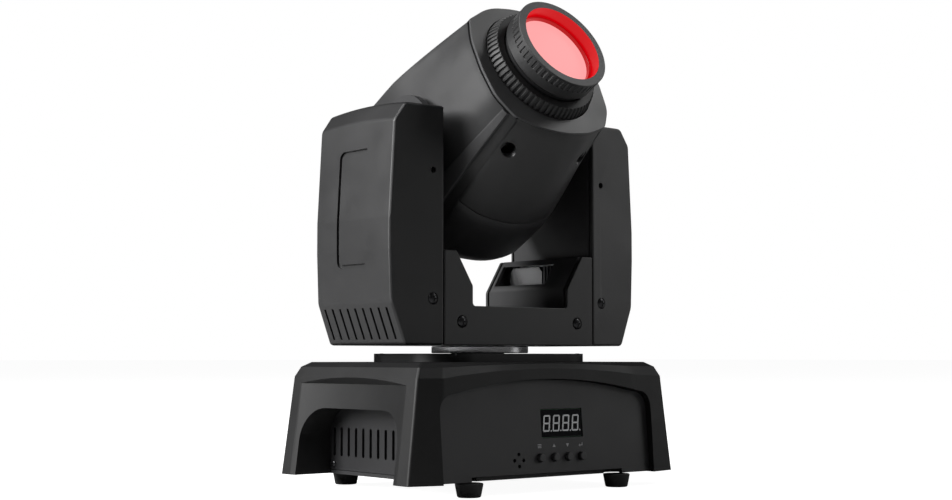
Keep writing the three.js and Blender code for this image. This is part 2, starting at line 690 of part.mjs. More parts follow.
function makeTiltMotor() {
  const { y, z, size, inner, outer } = TILT_MOTOR;
  const body = alongX(motorOutline(size), inner, outer);
  const shaft = turnedX(rodProfile(2, outer - 1, TILT_PULLEY.high + 2), SMALL_ROUND);
  return join(body, shaft).translate([0, y, z]);
}

function makeDriverHeatSink() {
  const rib = (y) => block([49, 55], [y, y + 1.4], [92, 120]);
  const ribs = Array.from({ length: 5 }, (_, k) => rib(-13 + 2.8 * k));
  return join(block([54, 56.4], [-14, 0.6], [92, 120]), ...ribs);
}

const panPinionProfile = pulley(PAN_PINION_RADIUS, PAN_PULLEY.low, PAN_PULLEY.high, 2 + GAP / 2);
const tiltPinionProfile = pulley(TILT_PINION_RADIUS, TILT_PULLEY.low, TILT_PULLEY.high, 2 + GAP / 2);

function makePanBelt() {
  const motor = new THREE.Vector2(PAN_MOTOR.x, 0);
  const shape = beltOutline(new THREE.Vector2(0, 0), PAN_PULLEY.radius, motor, PAN_PINION_RADIUS);
  return alongZ(shape, PAN_PULLEY.low + 0.5, PAN_PULLEY.high - 0.5);
}

function makeTiltBelt() {
  const motor = new THREE.Vector2(TILT_MOTOR.y, TILT_MOTOR.z);
  const shape = beltOutline(new THREE.Vector2(0, TILT_Z), TILT_PULLEY.radius, motor, TILT_PINION_RADIUS);
  return alongX(shape, TILT_PULLEY.low + 0.5, TILT_PULLEY.high - 0.5);
}

// ---- head ----
// Distance from the optical axis to a half outline, mirrored across it, in the direction `angle`.
function edgeReach(edge, angle) {
  const ray = new THREE.Vector2(Math.cos(angle), Math.sin(angle));
  const side = ray.x < 0 ? -1 : 1;
  const corners = edge.map(([x, y]) => new THREE.Vector2(side * x, y));
  for (let k = 0; k < corners.length - 1; k++) {
    const along = corners[k + 1].clone().sub(corners[k]);
    const span = ray.cross(along);
    const reach = corners[k].cross(along) / span;
    const share = corners[k].cross(ray) / span;
    if (reach > 0 && share >= -1e-6 && share <= 1 + 1e-6) return reach;
  }
  throw new Error("the head outline is open");
}

const WIDEST = HEAD_OUTLINE.map(([x, y]) => [x, y - OPTIC_Y]);

function headRing(z, inset) {
  const blend = 1 - (1 - THREE.MathUtils.clamp((HEAD_FRONT_Z - z) / 66, 0, 1)) ** 1.25;
  const tail = THREE.MathUtils.clamp((HEAD_TAIL.start - z) / (HEAD_TAIL.start - HEAD_TAIL.end), 0, 1);
  const shrink = 1 - (1 - HEAD_TAIL.share) * tail ** 2;
  return Array.from({ length: HEAD_SIDES }, (_, k) => {
    const angle = (2 * Math.PI * (k + 0.5)) / HEAD_SIDES;
    const edge = THREE.MathUtils.lerp(edgeReach(HEAD_FRONT, angle), edgeReach(WIDEST, angle), blend);
    const reach = (edge - inset) * shrink;
    return new THREE.Vector3(reach * Math.cos(angle), OPTIC_Y + reach * Math.sin(angle), z);
  });
}

function headShell() {
  const outside = solid(loft(HEAD_STATIONS.map((z) => headRing(z, 0))));
  const [front, ...rest] = HEAD_STATIONS;
  const end = HEAD_TAIL.end + SKIN;
  const stations = [front + 1, front, ...rest.slice(0, -1), end];
  const inside = solid(loft(stations.map((z) => headRing(z, SKIN))));
  return cut(outside, inside);
}

// Half-space solids that split the head's skin: below the sloping parting plane, and behind a station.
function partingRegion(below, zLow, zHigh) {
  const level = (z) => PARTING.level + PARTING.slope * z;
  const far = below ? -90 : 90;
  const gap = below ? -GAP / 2 : GAP / 2;
  const shape = outline([
    [level(zLow) + gap, zLow],
    [far, zLow],
    [far, zHigh],
    [level(zHigh) + gap, zHigh],
  ]);
  return alongX(shape, -80, 80);
}

function addHeadShells(group) {
  const shell = headShell();
  const { z, tail } = PARTING;
  const shaftHole = turnedX(rodProfile(TILT_SHAFT.radius + GAP, -70, 70));
  const upper = cut(shell.intersect(partingRegion(false, tail, HEAD_FRONT_Z + 1)), shaftHole);
  const wells = [-WELL.x, WELL.x].map((x) =>
    turnedY(rodProfile(WELL.radius, -70, -20), 24).translate([x, 0, WELL.z]),
  );
  const lower = cut(shell.intersect(partingRegion(true, z + GAP, HEAD_FRONT_Z + 1)), ...wells);
  const behind = block([-80, 80], [-90, 90], [-60, tail - GAP]);
  const rear = shell.intersect(join(behind, partingRegion(true, tail - 1, z)));
  const outlet = (y) => block([-18, 18], [y, y + 3], [-60, -40]);
  const outlets = Array.from({ length: 7 }, (_, k) => outlet(-16 + 6 * k));
  addPiece(group, "upper_shell", upper, BLACK_PLASTIC);
  addPiece(group, "lower_cover", lower, BLACK_PLASTIC);
  addPiece(group, "rear_cover", cut(rear, ...outlets), DARK_PLASTIC);
}

const onOpticalAxis = (body) => body.translate([0, OPTIC_Y, 0]);

function makeFrontCap() {
  const { low, high, bore } = CAP;
  const left = HEAD_FRONT.slice(1, -1).reverse();
  const disc = alongZ(outline([...HEAD_FRONT, ...left.map(([x, y]) => [-x, y])]), low, high);
  return onOpticalAxis(cut(disc, turnedZ(rodProfile(bore, low - 1, high + 1))));
}

function makeLensCollar() {
  const { low, base, high, radius, front, bore } = COLLAR_RIB;
  return onOpticalAxis(
    turnedZ([
      [bore, low],
      [radius, low],
      [radius, base],
      [front, high],
      [bore, high],
      [bore, low],
    ]),
  );
}

const makeFocusRing = () =>
  onOpticalAxis(
    turnedZ([
      [FOCUS.bore, FOCUS.back],
      [FOCUS.barrel, FOCUS.back],
      [FOCUS.barrel, FOCUS.ring - 1.5],
      [FOCUS.radius, FOCUS.ring],
      [FOCUS.radius, FOCUS.front - 0.8],
      [FOCUS.radius - 0.8, FOCUS.front],
      [FOCUS.bore, FOCUS.front],
      [FOCUS.bore, FOCUS.back],
    ]),
  );

const makeLensCell = () =>
  onOpticalAxis(
    turnedZ([
      [CELL.seat, CELL.low],
      [CELL.radius, CELL.low],
      [CELL.radius, CELL.high],
      [CELL.bore, CELL.high],
      [CELL.bore, CELL.low + 2],
      [CELL.seat, CELL.low + 2],
      [CELL.seat, CELL.low],
    ]),
  );

function makeFrontLens() {
  const { radius, edge, bulge, z } = LENS;
  const arc = (sign) =>
    Array.from({ length: 5 }, (_, k) => {
      const r = (radius * k) / 4;
      return [r, z + sign * (edge / 2 + bulge * (1 - (r / radius) ** 2) * (sign > 0 ? 1 : 0.2))];
    });
  return onOpticalAxis(turnedZ([...arc(-1), ...arc(1).reverse()], 32));
}

function makeWheel(sign, z) {
  const { radius, offset, holes, hole, thick, hub } = WHEEL;
  const disc = turnedZ(tubeProfile(radius, hub, z - thick / 2, z + thick / 2), 32);
  const apertures = Array.from({ length: holes }, (_, k) => {
    const angle = (2 * Math.PI * k) / holes;
    const spot = [offset * Math.cos(angle), offset * Math.sin(angle), z];
    return turnedZ(rodProfile(hole, -2, 2), 8).translate(spot);
  });
  return cut(disc, ...apertures).translate([sign * offset, OPTIC_Y, 0]);
}

// A wheel's motor: a round can behind or before its wheel, with the shaft through the wheel's bore.
function makeWheelMotor(sign, wheelZ, side) {
  const { radius, length } = WHEEL_MOTOR;
  const face = wheelZ + side * 2;
  const can = side < 0 ? rodProfile(radius, face - length, face) : rodProfile(radius, face, face + length);
  const shaft = rodProfile(WHEEL.hub - GAP, wheelZ - 1.5, wheelZ + 1.5);
  const body = join(turnedZ(can, 24), turnedZ(shaft, 12).translate([0, 0, side]));
  return body.translate([sign * WHEEL.offset, OPTIC_Y, 0]);
}

function makeHeatSink() {
  const { x, low, high, back, base, front, fins } = HEAT_SINK;
  const slab = block([-x, x], [low, high], [base, front]);
  const pitch = (2 * x - 2) / (fins - 1);
  const rib = (left) => block([left, left + 2], [low, high], [back, base + 1]);
  const ribs = Array.from({ length: fins }, (_, k) => rib(-x + k * pitch));
  const emitter = turnedZ(rodProfile(5, front - 1, front + 4), 16).translate([0, OPTIC_Y, 0]);
  return join(slab, ...ribs, emitter);
}

function makeOpticsFrame() {
  const floor = block([-27, 27], [-28, -26], [-34, 44]);
  const bridge = block([-38, 38], [-28, -26], [-13, 13]);
  const cheeks = [-1, 1].map((sign) => {
    const span = sign > 0 ? [36, 38] : [-38, -36];
    return block(span, [-27, 20], [-13, 13]);
  });
  const saddle = cut(
    block([-29, 29], [-27, -6], [40, 43]),
    turnedZ(rodProfile(FOCUS.barrel + 1, 30, 60)).translate([0, OPTIC_Y, 0]),
  );
  return join(floor, bridge, ...cheeks, saddle);
}

function makeTiltHub(sign) {
  const end = sign > 0 ? TILT_PULLEY.high + 1.5 : FRAME_PLATE.x + 6;
  const { radius, tip, bore, inner, step } = TILT_SHAFT;
  const profile = [
    [bore, inner],
    [radius, inner],
    [radius, HUB.inner],
    [HUB.radius, HUB.inner],
    [HUB.radius, HUB.outer],
    [radius, HUB.outer],
    [radius, step],
    [tip, step],
    [tip, end],
    [bore, end],
    [bore, inner],
  ];
  const hub = turnedX(profile);
  return sign > 0 ? hub : hub.mirror([1, 0, 0]);
}

function makeFan() {
  const { radius, hub, z, thick, blades } = FAN;
  const centre = turnedZ(rodProfile(hub, z - thick, z + thick), 24);
  const blade = (k) => {
    const vane = new THREE.BoxGeometry(radius - hub + 1, 9, 1).rotateX(0.5);
    return solid(vane.translate((radius + hub - 1) / 2, 0, z).rotateZ((2 * Math.PI * k) / blades));
  };
  return onOpticalAxis(join(centre, ...Array.from({ length: blades }, (_, k) => blade(k))));
}

// ---- assembly ----
const light = new THREE.Group();
const base = new THREE.Group();
const yoke = new THREE.Group();
const head = new THREE.Group();
head.position.set(0, 0, TILT_Z);
head.rotation.x = Math.PI / 2 - OPTIC_TILT;
light.add(base, yoke, head);

const frontPanel = new THREE.Group();
frontPanel.position.y = -(BASE_RINGS[0].front - RECESS_DEPTH);
frontPanel.rotation.x = -FRONT_DRAFT;
const rearPanel = new THREE.Group();
rearPanel.position.y = BASE_RINGS[0].front - RECESS_DEPTH;
rearPanel.rotation.set(-FRONT_DRAFT, 0, Math.PI, "ZYX");
base.add(frontPanel, rearPanel);

addPiece(base, "base_shell", makeBaseShell(), BLACK_PLASTIC);
addPiece(base, "vent_panel_left", ventPanel(-1), DARK_PLASTIC);
addPiece(base, "vent_panel_right", ventPanel(1), DARK_PLASTIC);
addPiece(base, "bottom_plate", makeBottomPlate(), BLACK_METAL);
for (const [side, x] of [["left", -FOOT.x], ["right", FOOT.x]]) {
  addPiece(base, `foot_front_${side}`, makeFoot(x, -FOOT.y), RUBBER);
  addPiece(base, `foot_rear_${side}`, makeFoot(x, FOOT.y), RUBBER);
}
addPiece(base, "top_plate", makeTopPlate(), BLACK_PLASTIC);
addPiece(base, "pan_shaft", makePanShaft(), BRIGHT_METAL);
const panPulley = pulley(PAN_PULLEY.radius, PAN_PULLEY.low, PAN_PULLEY.high, PAN_TUBE.radius + GAP);
addPiece(base, "pan_pulley", turnedZ(panPulley), WHITE_NYLON);
addPiece(base, "power_supply", makePowerSupply(), BOARD_GREEN);

addPiece(frontPanel, "front_panel", makeFrontPanel(), BLACK_PLASTIC);
addPiece(frontPanel, "control_board", makeControlBoard(), BOARD_GREEN);
["menu", "up", "down", "enter"].forEach((name, k) => {
  addPiece(frontPanel, `button_${name}`, makeButton(BUTTON.x[k]), DARK_PLASTIC);
});
addPiece(rearPanel, "rear_panel", makeRearPanel(), BLACK_PLASTIC);
addPiece(rearPanel, "power_inlet", makePowerInlet(), DARK_PLASTIC);
addPiece(rearPanel, "dmx_input", makeDmxSocket(XLR.x[0], true), BLACK_METAL);
addPiece(rearPanel, "dmx_output", makeDmxSocket(XLR.x[1], false), BLACK_METAL);

addPiece(yoke, "yoke_base_plate", makeYokeBasePlate(), STEEL);
addPiece(yoke, "front_bezel", makeBezel(-1), BLACK_PLASTIC);
addPiece(yoke, "rear_bezel", makeBezel(1), BLACK_PLASTIC);
for (const [side, sign] of [["left", -1], ["right", 1]]) {
  addPiece(yoke, `frame_plate_${side}`, makeFramePlate(sign), STEEL);
  addPiece(yoke, `arm_cover_${side}`, makeArmCover(sign), BLACK_PLASTIC);
  addPiece(yoke, `inner_cover_${side}`, makeInnerCover(sign), BLACK_PLASTIC);
  const bezelScrew = makeScrew(sign * BEZEL_SCREW.x, -1, BEZEL_SCREW.z, YOKE_DEPTH);
  addPiece(yoke, `bezel_screw_${side}`, bezelScrew, BLACK_METAL);
  const armScrew = makeScrew(sign * ARM_SCREW.x, -1, ARM_SCREW.z, armFace(ARM_SCREW.x));
  addPiece(yoke, `arm_screw_${side}`, armScrew, BLACK_METAL);
}
addPiece(yoke, "pan_motor", makePanMotor(), STEEL);
addPiece(yoke, "pan_pinion", turnedZ(panPinionProfile, 24).translate([PAN_MOTOR.x, 0, 0]), BRIGHT_METAL);
addPiece(yoke, "pan_belt", makePanBelt(), BELT_RUBBER);
addPiece(yoke, "tilt_motor", makeTiltMotor(), BRIGHT_METAL);
const tiltPinion = turnedX(tiltPinionProfile, 24).translate([0, TILT_MOTOR.y, TILT_MOTOR.z]);
addPiece(yoke, "tilt_pinion", tiltPinion, BRIGHT_METAL);
addPiece(yoke, "tilt_belt", makeTiltBelt(), BELT_RUBBER);
addPiece(yoke, "driver_heat_sink", makeDriverHeatSink(), BLACK_METAL);

addHeadShells(head);
addPiece(head, "front_cap", makeFrontCap(), BLACK_PLASTIC);
addPiece(head, "lens_collar", makeLensCollar(), BLACK_PLASTIC);
addPiece(head, "focus_ring", makeFocusRing(), BLACK_METAL);
addPiece(head, "lens_cell", makeLensCell(), BLACK_METAL);
addPiece(head, "front_lens", makeFrontLens(), GLASS);
addPiece(head, "optics_frame", makeOpticsFrame(), STEEL);
addPiece(head, "tilt_hub_left", makeTiltHub(-1), BLACK_METAL);
addPiece(head, "tilt_hub_right", makeTiltHub(1), BLACK_METAL);
const tiltPulley = pulley(TILT_PULLEY.radius, TILT_PULLEY.low, TILT_PULLEY.high, TILT_SHAFT.tip + GAP);
addPiece(head, "tilt_pulley", turnedX(tiltPulley), WHITE_NYLON);
addPiece(head, "colour_wheel", makeWheel(-1, COLOUR_WHEEL_Z), BRIGHT_METAL);
addPiece(head, "gobo_wheel", makeWheel(1, GOBO_WHEEL_Z), BRIGHT_METAL);
addPiece(head, "colour_motor", makeWheelMotor(-1, COLOUR_WHEEL_Z, -1), STEEL);
addPiece(head, "gobo_motor", makeWheelMotor(1, GOBO_WHEEL_Z, 1), STEEL);
addPiece(head, "heat_sink", makeHeatSink(), BRIGHT_METAL);
addPiece(head, "fan_rotor", makeFan(), DARK_PLASTIC);

export default light;
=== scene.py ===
import json
import math

import bmesh
import bpy
from mathutils import Matrix, Vector


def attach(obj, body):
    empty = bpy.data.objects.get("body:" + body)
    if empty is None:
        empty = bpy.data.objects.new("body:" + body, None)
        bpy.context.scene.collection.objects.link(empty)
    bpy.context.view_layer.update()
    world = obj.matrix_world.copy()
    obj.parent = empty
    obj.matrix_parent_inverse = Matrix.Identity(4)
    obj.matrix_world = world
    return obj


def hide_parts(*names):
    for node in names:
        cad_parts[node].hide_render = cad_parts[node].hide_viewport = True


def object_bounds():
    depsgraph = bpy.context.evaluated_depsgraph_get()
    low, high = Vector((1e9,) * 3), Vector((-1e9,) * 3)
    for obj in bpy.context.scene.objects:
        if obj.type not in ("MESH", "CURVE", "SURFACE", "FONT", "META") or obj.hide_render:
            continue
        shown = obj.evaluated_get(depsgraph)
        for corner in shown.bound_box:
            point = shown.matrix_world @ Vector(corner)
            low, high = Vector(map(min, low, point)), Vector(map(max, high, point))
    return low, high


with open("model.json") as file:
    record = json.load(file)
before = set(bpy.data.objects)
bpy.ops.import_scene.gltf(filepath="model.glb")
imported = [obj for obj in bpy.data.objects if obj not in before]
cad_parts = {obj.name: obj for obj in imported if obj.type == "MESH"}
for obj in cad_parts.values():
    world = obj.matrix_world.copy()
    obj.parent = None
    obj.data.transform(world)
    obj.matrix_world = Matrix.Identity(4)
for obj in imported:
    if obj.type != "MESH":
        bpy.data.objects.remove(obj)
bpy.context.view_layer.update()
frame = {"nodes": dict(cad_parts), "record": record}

# ---------------------------------------------------------------- base case
# The floor-standing case that holds the supply and the controls: one injection-moulded black shell,
# open below and at its arched front and rear, with a scooped hand pocket in each side.
# Every piece is drawn in millimetres and is brought to metres when it is finished.
METRES = Matrix.Scale(0.001, 4)


def clear_selection():
    if bpy.context.object and bpy.context.object.mode != "OBJECT":
        bpy.ops.object.mode_set(mode="OBJECT")
    bpy.ops.object.select_all(action="DESELECT")


def choose(*pieces):
    clear_selection()
    for piece in pieces:
        piece.select_set(True)
    bpy.context.view_layer.objects.active = pieces[0]


def tidy_faces(piece, merge=0.002):
    choose(piece)
    bpy.ops.object.mode_set(mode="EDIT")
    bpy.ops.mesh.select_all(action="SELECT")
    bpy.ops.mesh.remove_doubles(threshold=merge)
    bpy.ops.mesh.delete_loose(use_verts=True, use_edges=True, use_faces=False)
    bpy.ops.mesh.select_all(action="SELECT")
    bpy.ops.mesh.normals_make_consistent(inside=False)
    bpy.ops.object.mode_set(mode="OBJECT")
    return piece


def loft(name, rings):
    """A closed body through rings of equal point counts: a filled circle, extruded ring by ring."""
    clear_selection()
    bpy.ops.mesh.primitive_circle_add(vertices=len(rings[0]), fill_type="NGON")
    piece = bpy.context.object
    piece.name = name
    bpy.ops.object.mode_set(mode="EDIT")
    bpy.ops.mesh.select_all(action="SELECT")
    spots = None
    for ring in rings:
        if spots:
            bpy.ops.mesh.extrude_region_move()
        mesh = bmesh.from_edit_mesh(piece.data)
        chosen = [v for v in mesh.verts if v.select]
        if spots:
            chosen.sort(key=lambda v: spots[tuple(round(c, 4) for c in v.co)])
        for vertex, point in zip(chosen, ring):
            vertex.co = point
        spots = {tuple(round(c, 4) for c in v.co): k for k, v in enumerate(chosen)}
        bmesh.update_edit_mesh(piece.data)
    bpy.ops.object.mode_set(mode="OBJECT")
    return tidy_faces(piece)


def prism(name, outline, axis, low, high):
    """A flat outline, given in the two other axes, made thick along one axis."""
    spot = {
        "X": lambda p, at: (at, p[0], p[1]),
        "Y": lambda p, at: (p[0], at, p[1]),
        "Z": lambda p, at: (p[0], p[1], at),
    }[axis]
    return loft(name, [[spot(p, at) for p in outline] for at in (low, high)])


def turned(name, profile, steps=96):
    """A closed radius-height profile spun about the Z axis."""
    clear_selection()
    bpy.ops.mesh.primitive_circle_add(vertices=len(profile), fill_type="NOTHING")
    piece = bpy.context.object
    piece.name = name
    bpy.ops.object.mode_set(mode="EDIT")
    mesh = bmesh.from_edit_mesh(piece.data)
    mesh.verts.ensure_lookup_table()
    for vertex, (radius, height) in zip(mesh.verts, profile):
        vertex.co = (radius, 0, height)
    bmesh.update_edit_mesh(piece.data)
    bpy.ops.mesh.select_all(action="SELECT")
    bpy.ops.mesh.spin(steps=steps, angle=2 * math.pi, center=(0, 0, 0), axis=(0, 0, 1))
    bpy.ops.object.mode_set(mode="OBJECT")
    return tidy_faces(piece)


def rod(name, radius, low, high, steps=48):
    return turned(name, [(0, low), (radius, low), (radius, high), (0, high)], steps)


def seat(piece, matrix):
    """Moves a piece and bakes the move into its mesh."""
    choose(piece)
    piece.matrix_world = matrix
    bpy.ops.object.transform_apply(location=True, rotation=True, scale=True)
    return piece


def rounded(corners, steps=6):
    """A closed outline from (x, y, radius) corners."""
    points = []
    for k, (x, y, radius) in enumerate(corners):
        spot = Vector((x, y))
        back = (Vector(corners[k - 1][:2]) - spot).normalized()
        ahead = (Vector(corners[(k + 1) % len(corners)][:2]) - spot).normalized()
        if radius == 0:
            points.append((x, y))
            continue
        half = back.angle(ahead) / 2
        start = spot + back * radius / math.tan(half)
        centre = spot + (back + ahead).normalized() * radius / math.sin(half)
        first = start - centre
        sweep = (math.pi - 2 * half) * (1 if back.cross(ahead) < 0 else -1)
        for step in range(steps + 1):
            turn = Matrix.Rotation(sweep * step / steps, 2)
            points.append(tuple(centre + turn @ first))
    return points


def modify(piece, kind, **settings):
    choose(piece)
    modifier = piece.modifiers.new(kind.lower(), kind)
    for key, value in settings.items():
        setattr(modifier, key, value)
    bpy.ops.object.modifier_apply(modifier=modifier.name)
    return piece


def carve(piece, *tools, keep="DIFFERENCE"):
    for tool in tools:
        modify(piece, "BOOLEAN", operation=keep, solver="EXACT", object=tool)
        bpy.data.objects.remove(tool)
    return piece


def soften(piece, width, segments=2, angle=30, smooth=35, flat=True):
    """Rounds the sharp edges over; flat faces keep an even shade right up to the rounding."""
    modify(
        piece, "BEVEL", width=width, segments=segments,
        limit_method="ANGLE", angle_limit=math.radians(angle),
    )
    choose(piece)
    bpy.ops.object.shade_smooth_by_angle(angle=math.radians(smooth))
    if flat:
        modify(piece, "WEIGHTED_NORMAL", keep_sharp=True, weight=100)
    return piece


def copies(piece, places):
    """The piece once at each place, as one mesh."""
    found = []
    for place in places:
        twin = piece.copy()
        twin.data = piece.data.copy()
        bpy.context.scene.collection.objects.link(twin)
        twin.data.transform(place if isinstance(place, Matrix) else Matrix.Translation(place))
        found.append(twin)
    bpy.data.objects.remove(piece)
    choose(*found)
    if len(found) > 1:
        bpy.ops.object.join()
    return bpy.context.object


def finish(piece, body, slot, material, *nodes):
    seat(piece, METRES)
    piece.data.materials.clear()
    for finish_material in material if isinstance(material, (list, tuple)) else [material]:
        piece.data.materials.append(finish_material)
    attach(piece, body)
    if nodes:
        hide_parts(*nodes)
    return piece


def grain_group():
    """Moulded or painted surface: a fine bump, and a slow drift of tone and polish."""
    group = bpy.data.node_groups.new("moulded grain", "ShaderNodeTree")
    tree = group.interface
    tree.new_socket("Tone", in_out="INPUT", socket_type="NodeSocketColor")
    for label, value in (("Polish", 0.5), ("Grain", 0.2), ("Grain size", 1500.0), ("Drift", 0.15)):
        tree.new_socket(label, in_out="INPUT", socket_type="NodeSocketFloat").default_value = value
    tree.new_socket("Colour", in_out="OUTPUT", socket_type="NodeSocketColor")
    tree.new_socket("Roughness", in_out="OUTPUT", socket_type="NodeSocketFloat")
    tree.new_socket("Normal", in_out="OUTPUT", socket_type="NodeSocketVector")
    nodes, links = group.nodes, group.links
    given, out = nodes.new("NodeGroupInput"), nodes.new("NodeGroupOutput")
    place = nodes.new("ShaderNodeTexCoord")
    fine, slow = nodes.new("ShaderNodeTexNoise"), nodes.new("ShaderNodeTexNoise")
    slow.inputs["Scale"].default_value = 45
    links.new(place.outputs["Object"], fine.inputs["Vector"])
    links.new(place.outputs["Object"], slow.inputs["Vector"])
    links.new(given.outputs["Grain size"], fine.inputs["Scale"])
    bump = nodes.new("ShaderNodeBump")
    bump.inputs["Distance"].default_value = 0.0001
    links.new(fine.outputs["Fac"], bump.inputs["Height"])
    links.new(given.outputs["Grain"], bump.inputs["Strength"])
    links.new(bump.outputs["Normal"], out.inputs["Normal"])
    centred = nodes.new("ShaderNodeMath")
    centred.operation = "SUBTRACT"
    centred.inputs[1].default_value = 0.5
    links.new(slow.outputs["Fac"], centred.inputs[0])
    scaled = nodes.new("ShaderNodeMath")
    scaled.operation = "MULTIPLY"
    links.new(centred.outputs[0], scaled.inputs[0])
    links.new(given.outputs["Drift"], scaled.inputs[1])
    rough = nodes.new("ShaderNodeMath")
    rough.operation = "ADD"
    links.new(given.outputs["Polish"], rough.inputs[0])
    links.new(scaled.outputs[0], rough.inputs[1])
    links.new(rough.outputs[0], out.inputs["Roughness"])
    lift = nodes.new("ShaderNodeMath")
    lift.operation = "ADD"
    lift.inputs[1].default_value = 1
    links.new(scaled.outputs[0], lift.inputs[0])
    tint = nodes.new("ShaderNodeVectorMath")
    tint.operation = "SCALE"
    links.new(given.outputs["Tone"], tint.inputs[0])
    links.new(lift.outputs[0], tint.inputs["Scale"])
    links.new(tint.outputs["Vector"], out.inputs["Colour"])
    return group


GRAIN = grain_group()


def grained(name, tone, polish, grain=0.2, size=1500.0, drift=0.15, **sockets):
    """A Principled material on the shared grain; sockets are set on the shader itself."""
    material = bpy.data.materials.new(name)
    material.use_nodes = True
    nodes, links = material.node_tree.nodes, material.node_tree.links
    shader = nodes["Principled BSDF"]
    group = nodes.new("ShaderNodeGroup")
    group.node_tree = GRAIN
    group.inputs["Tone"].default_value = (*tone, 1)
    group.inputs["Polish"].default_value = polish
    group.inputs["Grain"].default_value = grain
    group.inputs["Grain size"].default_value = size
    group.inputs["Drift"].default_value = drift
    links.new(group.outputs["Colour"], shader.inputs["Base Color"])
    links.new(group.outputs["Roughness"], shader.inputs["Roughness"])
    links.new(group.outputs["Normal"], shader.inputs["Normal"])
    for label, value in sockets.items():
        shader.inputs[label.replace("_", " ")].default_value = value
    return material


MOULDED_BLACK = grained("moulded black", (0.0045, 0.0045, 0.0047), 0.5, grain=0.25, Specular_IOR_Level=0.3)

BASE_LEVELS = (  # height, half width, corner Y, facet X, half depth, rise of the arch
    (0, 96.6, 59.5, 77.6, 65.2, 0),
    (54.7, 89.5, 57.9, 74.5, 60.6, 4.7),
    (60.2, 86.6, 55.8, 72, 57.4, 1.7),
    (62.9, 82, 52, 70, 53, 0),
)
FRONT_LEAN = math.atan2(4.6, 54.7)
SIDE_LEAN = 7.1 / 54.7


def base_ring(level, side, corner_y, facet_x, front, rise):
    ring = []
    for turn in (1, -1):
        corner = [(side, -corner_y, 1.6), (side, corner_y, 1.6), (facet_x, front, 12)]
        arc = rounded(corner + [(-x, -y, r) for x, y, r in corner], 6)
        quarter = arc[: len(arc) // 2]
        # the straight front runs on from the last corner in even steps, and follows the arch
        last_x = quarter[-1][0]
        edge = [(last_x * (1 - 2 * k / 24), front) for k in range(1, 24)]
        for x, y in quarter + edge:
            lift = rise * max(0, 1 - (x / facet_x) ** 2) if abs(abs(y) - front) < 1e-4 else 0
            ring.append((turn * x, turn * y, level + lift))
    return ring


def arch_opening(grow, floor):
    edge, shoulder, peak, bend = 77.6 + grow, 46 + grow, 53.5 + grow, 10
    side = [(edge, floor)]
    for k in range(9):
        t = k / 8
        x = (1 - t) ** 2 * edge + 2 * t * (1 - t) * edge + t * t * (edge - bend)
        z = (1 - t) ** 2 * (shoulder - bend) + 2 * t * (1 - t) * shoulder + t * t * (shoulder + 0.6)
        side.append((x, z))
    crown = []
    for k in range(1, 32):
        t = k / 32
        x = (edge - bend) * (1 - 2 * t)
        z = ((1 - t) ** 2 + t * t) * (shoulder + 0.6) + 2 * t * (1 - t) * (2 * peak - shoulder)
        crown.append((x, z))
    return side + crown + [(-x, z) for x, z in reversed(side)]


def pocket_arch(grow, floor=-1):
    return rounded(
        [(-46 - grow, floor, 0), (46 + grow, floor, 0),
         (46 + grow, 37.5 + grow, 18 + grow), (-46 - grow, 37.5 + grow, 18 + grow)], 10,
    )


def scoop(sign):
    """The long hollow of a side: a very large radius leaning with the side, closed by a chamfered ledge."""
    rings = []
    for level, radius in ((-8, 252.5), (51, 252.5), (56.5, 245)):
        centre = 96.6 + 252.5 - 5 - level * SIDE_LEAN
        arc = [math.radians(13 - 26 * k / 40) for k in range(41)]
        ring = [(sign * (centre - radius * math.cos(a)), radius * math.sin(a), level) for a in arc]
        far = sign * (centre - 200)
        rings.append([(far, ring[0][1] + 4, level), *ring, (far, ring[-1][1] - 4, level)])
    return loft("scoop", rings)


case = loft("base_case", [base_ring(*level) for level in BASE_LEVELS])
modify(case, "BEVEL", width=2.4, segments=3, limit_method="ANGLE", angle_limit=math.radians(14))
HOLLOW = ((69, 54, -2), (66, 53.5, 50), (62, 46, 59))  # half width, half depth, height
inside = loft("inside", [[(x, -y, z), (x, y, z), (-x, y, z), (-x, -y, z)] for x, y, z in HOLLOW])
carve(case, inside)
for sign in (-1, 1):
    carve(
        case,
        prism("pocket", pocket_arch(0), "X", *sorted((sign * 72.1, sign * 104))),
        prism("pocket", pocket_arch(2.6), "X", *sorted((sign * 68.5, sign * 72.3))),
        scoop(sign),
        prism("front opening", arch_opening(0, -2), "Y", *sorted((sign * 52, sign * 72))),
    )
carve(case, rod("pan bore", 15, 50, 72))
soften(case, 0.7, 2, 32)
finish(case, "base", "black_shell", MOULDED_BLACK, "base_shell")

# ---------------------------------------------------------------- control panel and rear panel
# Flat moulded panels set back in the two arches, each leaning with the case.
# The display window is smoked acrylic, behind it a module of four seven-segment digits.
PANEL = Matrix.Translation((0, -60.2, 0)) @ Matrix.Rotation(-FRONT_LEAN, 4, "X")
PANEL_BLACK = grained("panel black", (0.014, 0.014, 0.015), 0.5, grain=0.3)


def working_copy(node, name):
    """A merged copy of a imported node, in millimetres, with its flat faces made whole."""
    source = frame["nodes"][node]
    piece = bpy.data.objects.new(name, source.data.copy())
    bpy.context.scene.collection.objects.link(piece)
    piece.data.transform(Matrix.Scale(1000, 4))
    choose(piece)
    bpy.ops.object.mode_set(mode="EDIT")
    bpy.ops.mesh.select_all(action="SELECT")
    bpy.ops.mesh.remove_doubles(threshold=0.01)
    bpy.ops.mesh.dissolve_limited(angle_limit=math.radians(0.5))
    bpy.ops.object.mode_set(mode="OBJECT")
    bpy.ops.object.shade_flat()
    return piece


for node, name in (("front_panel", "control_panel"), ("rear_panel", "connector_panel")):
    panel = soften(working_copy(node, name), 0.25, 2, 40)
    finish(panel, "base", "black_shell", PANEL_BLACK, node)

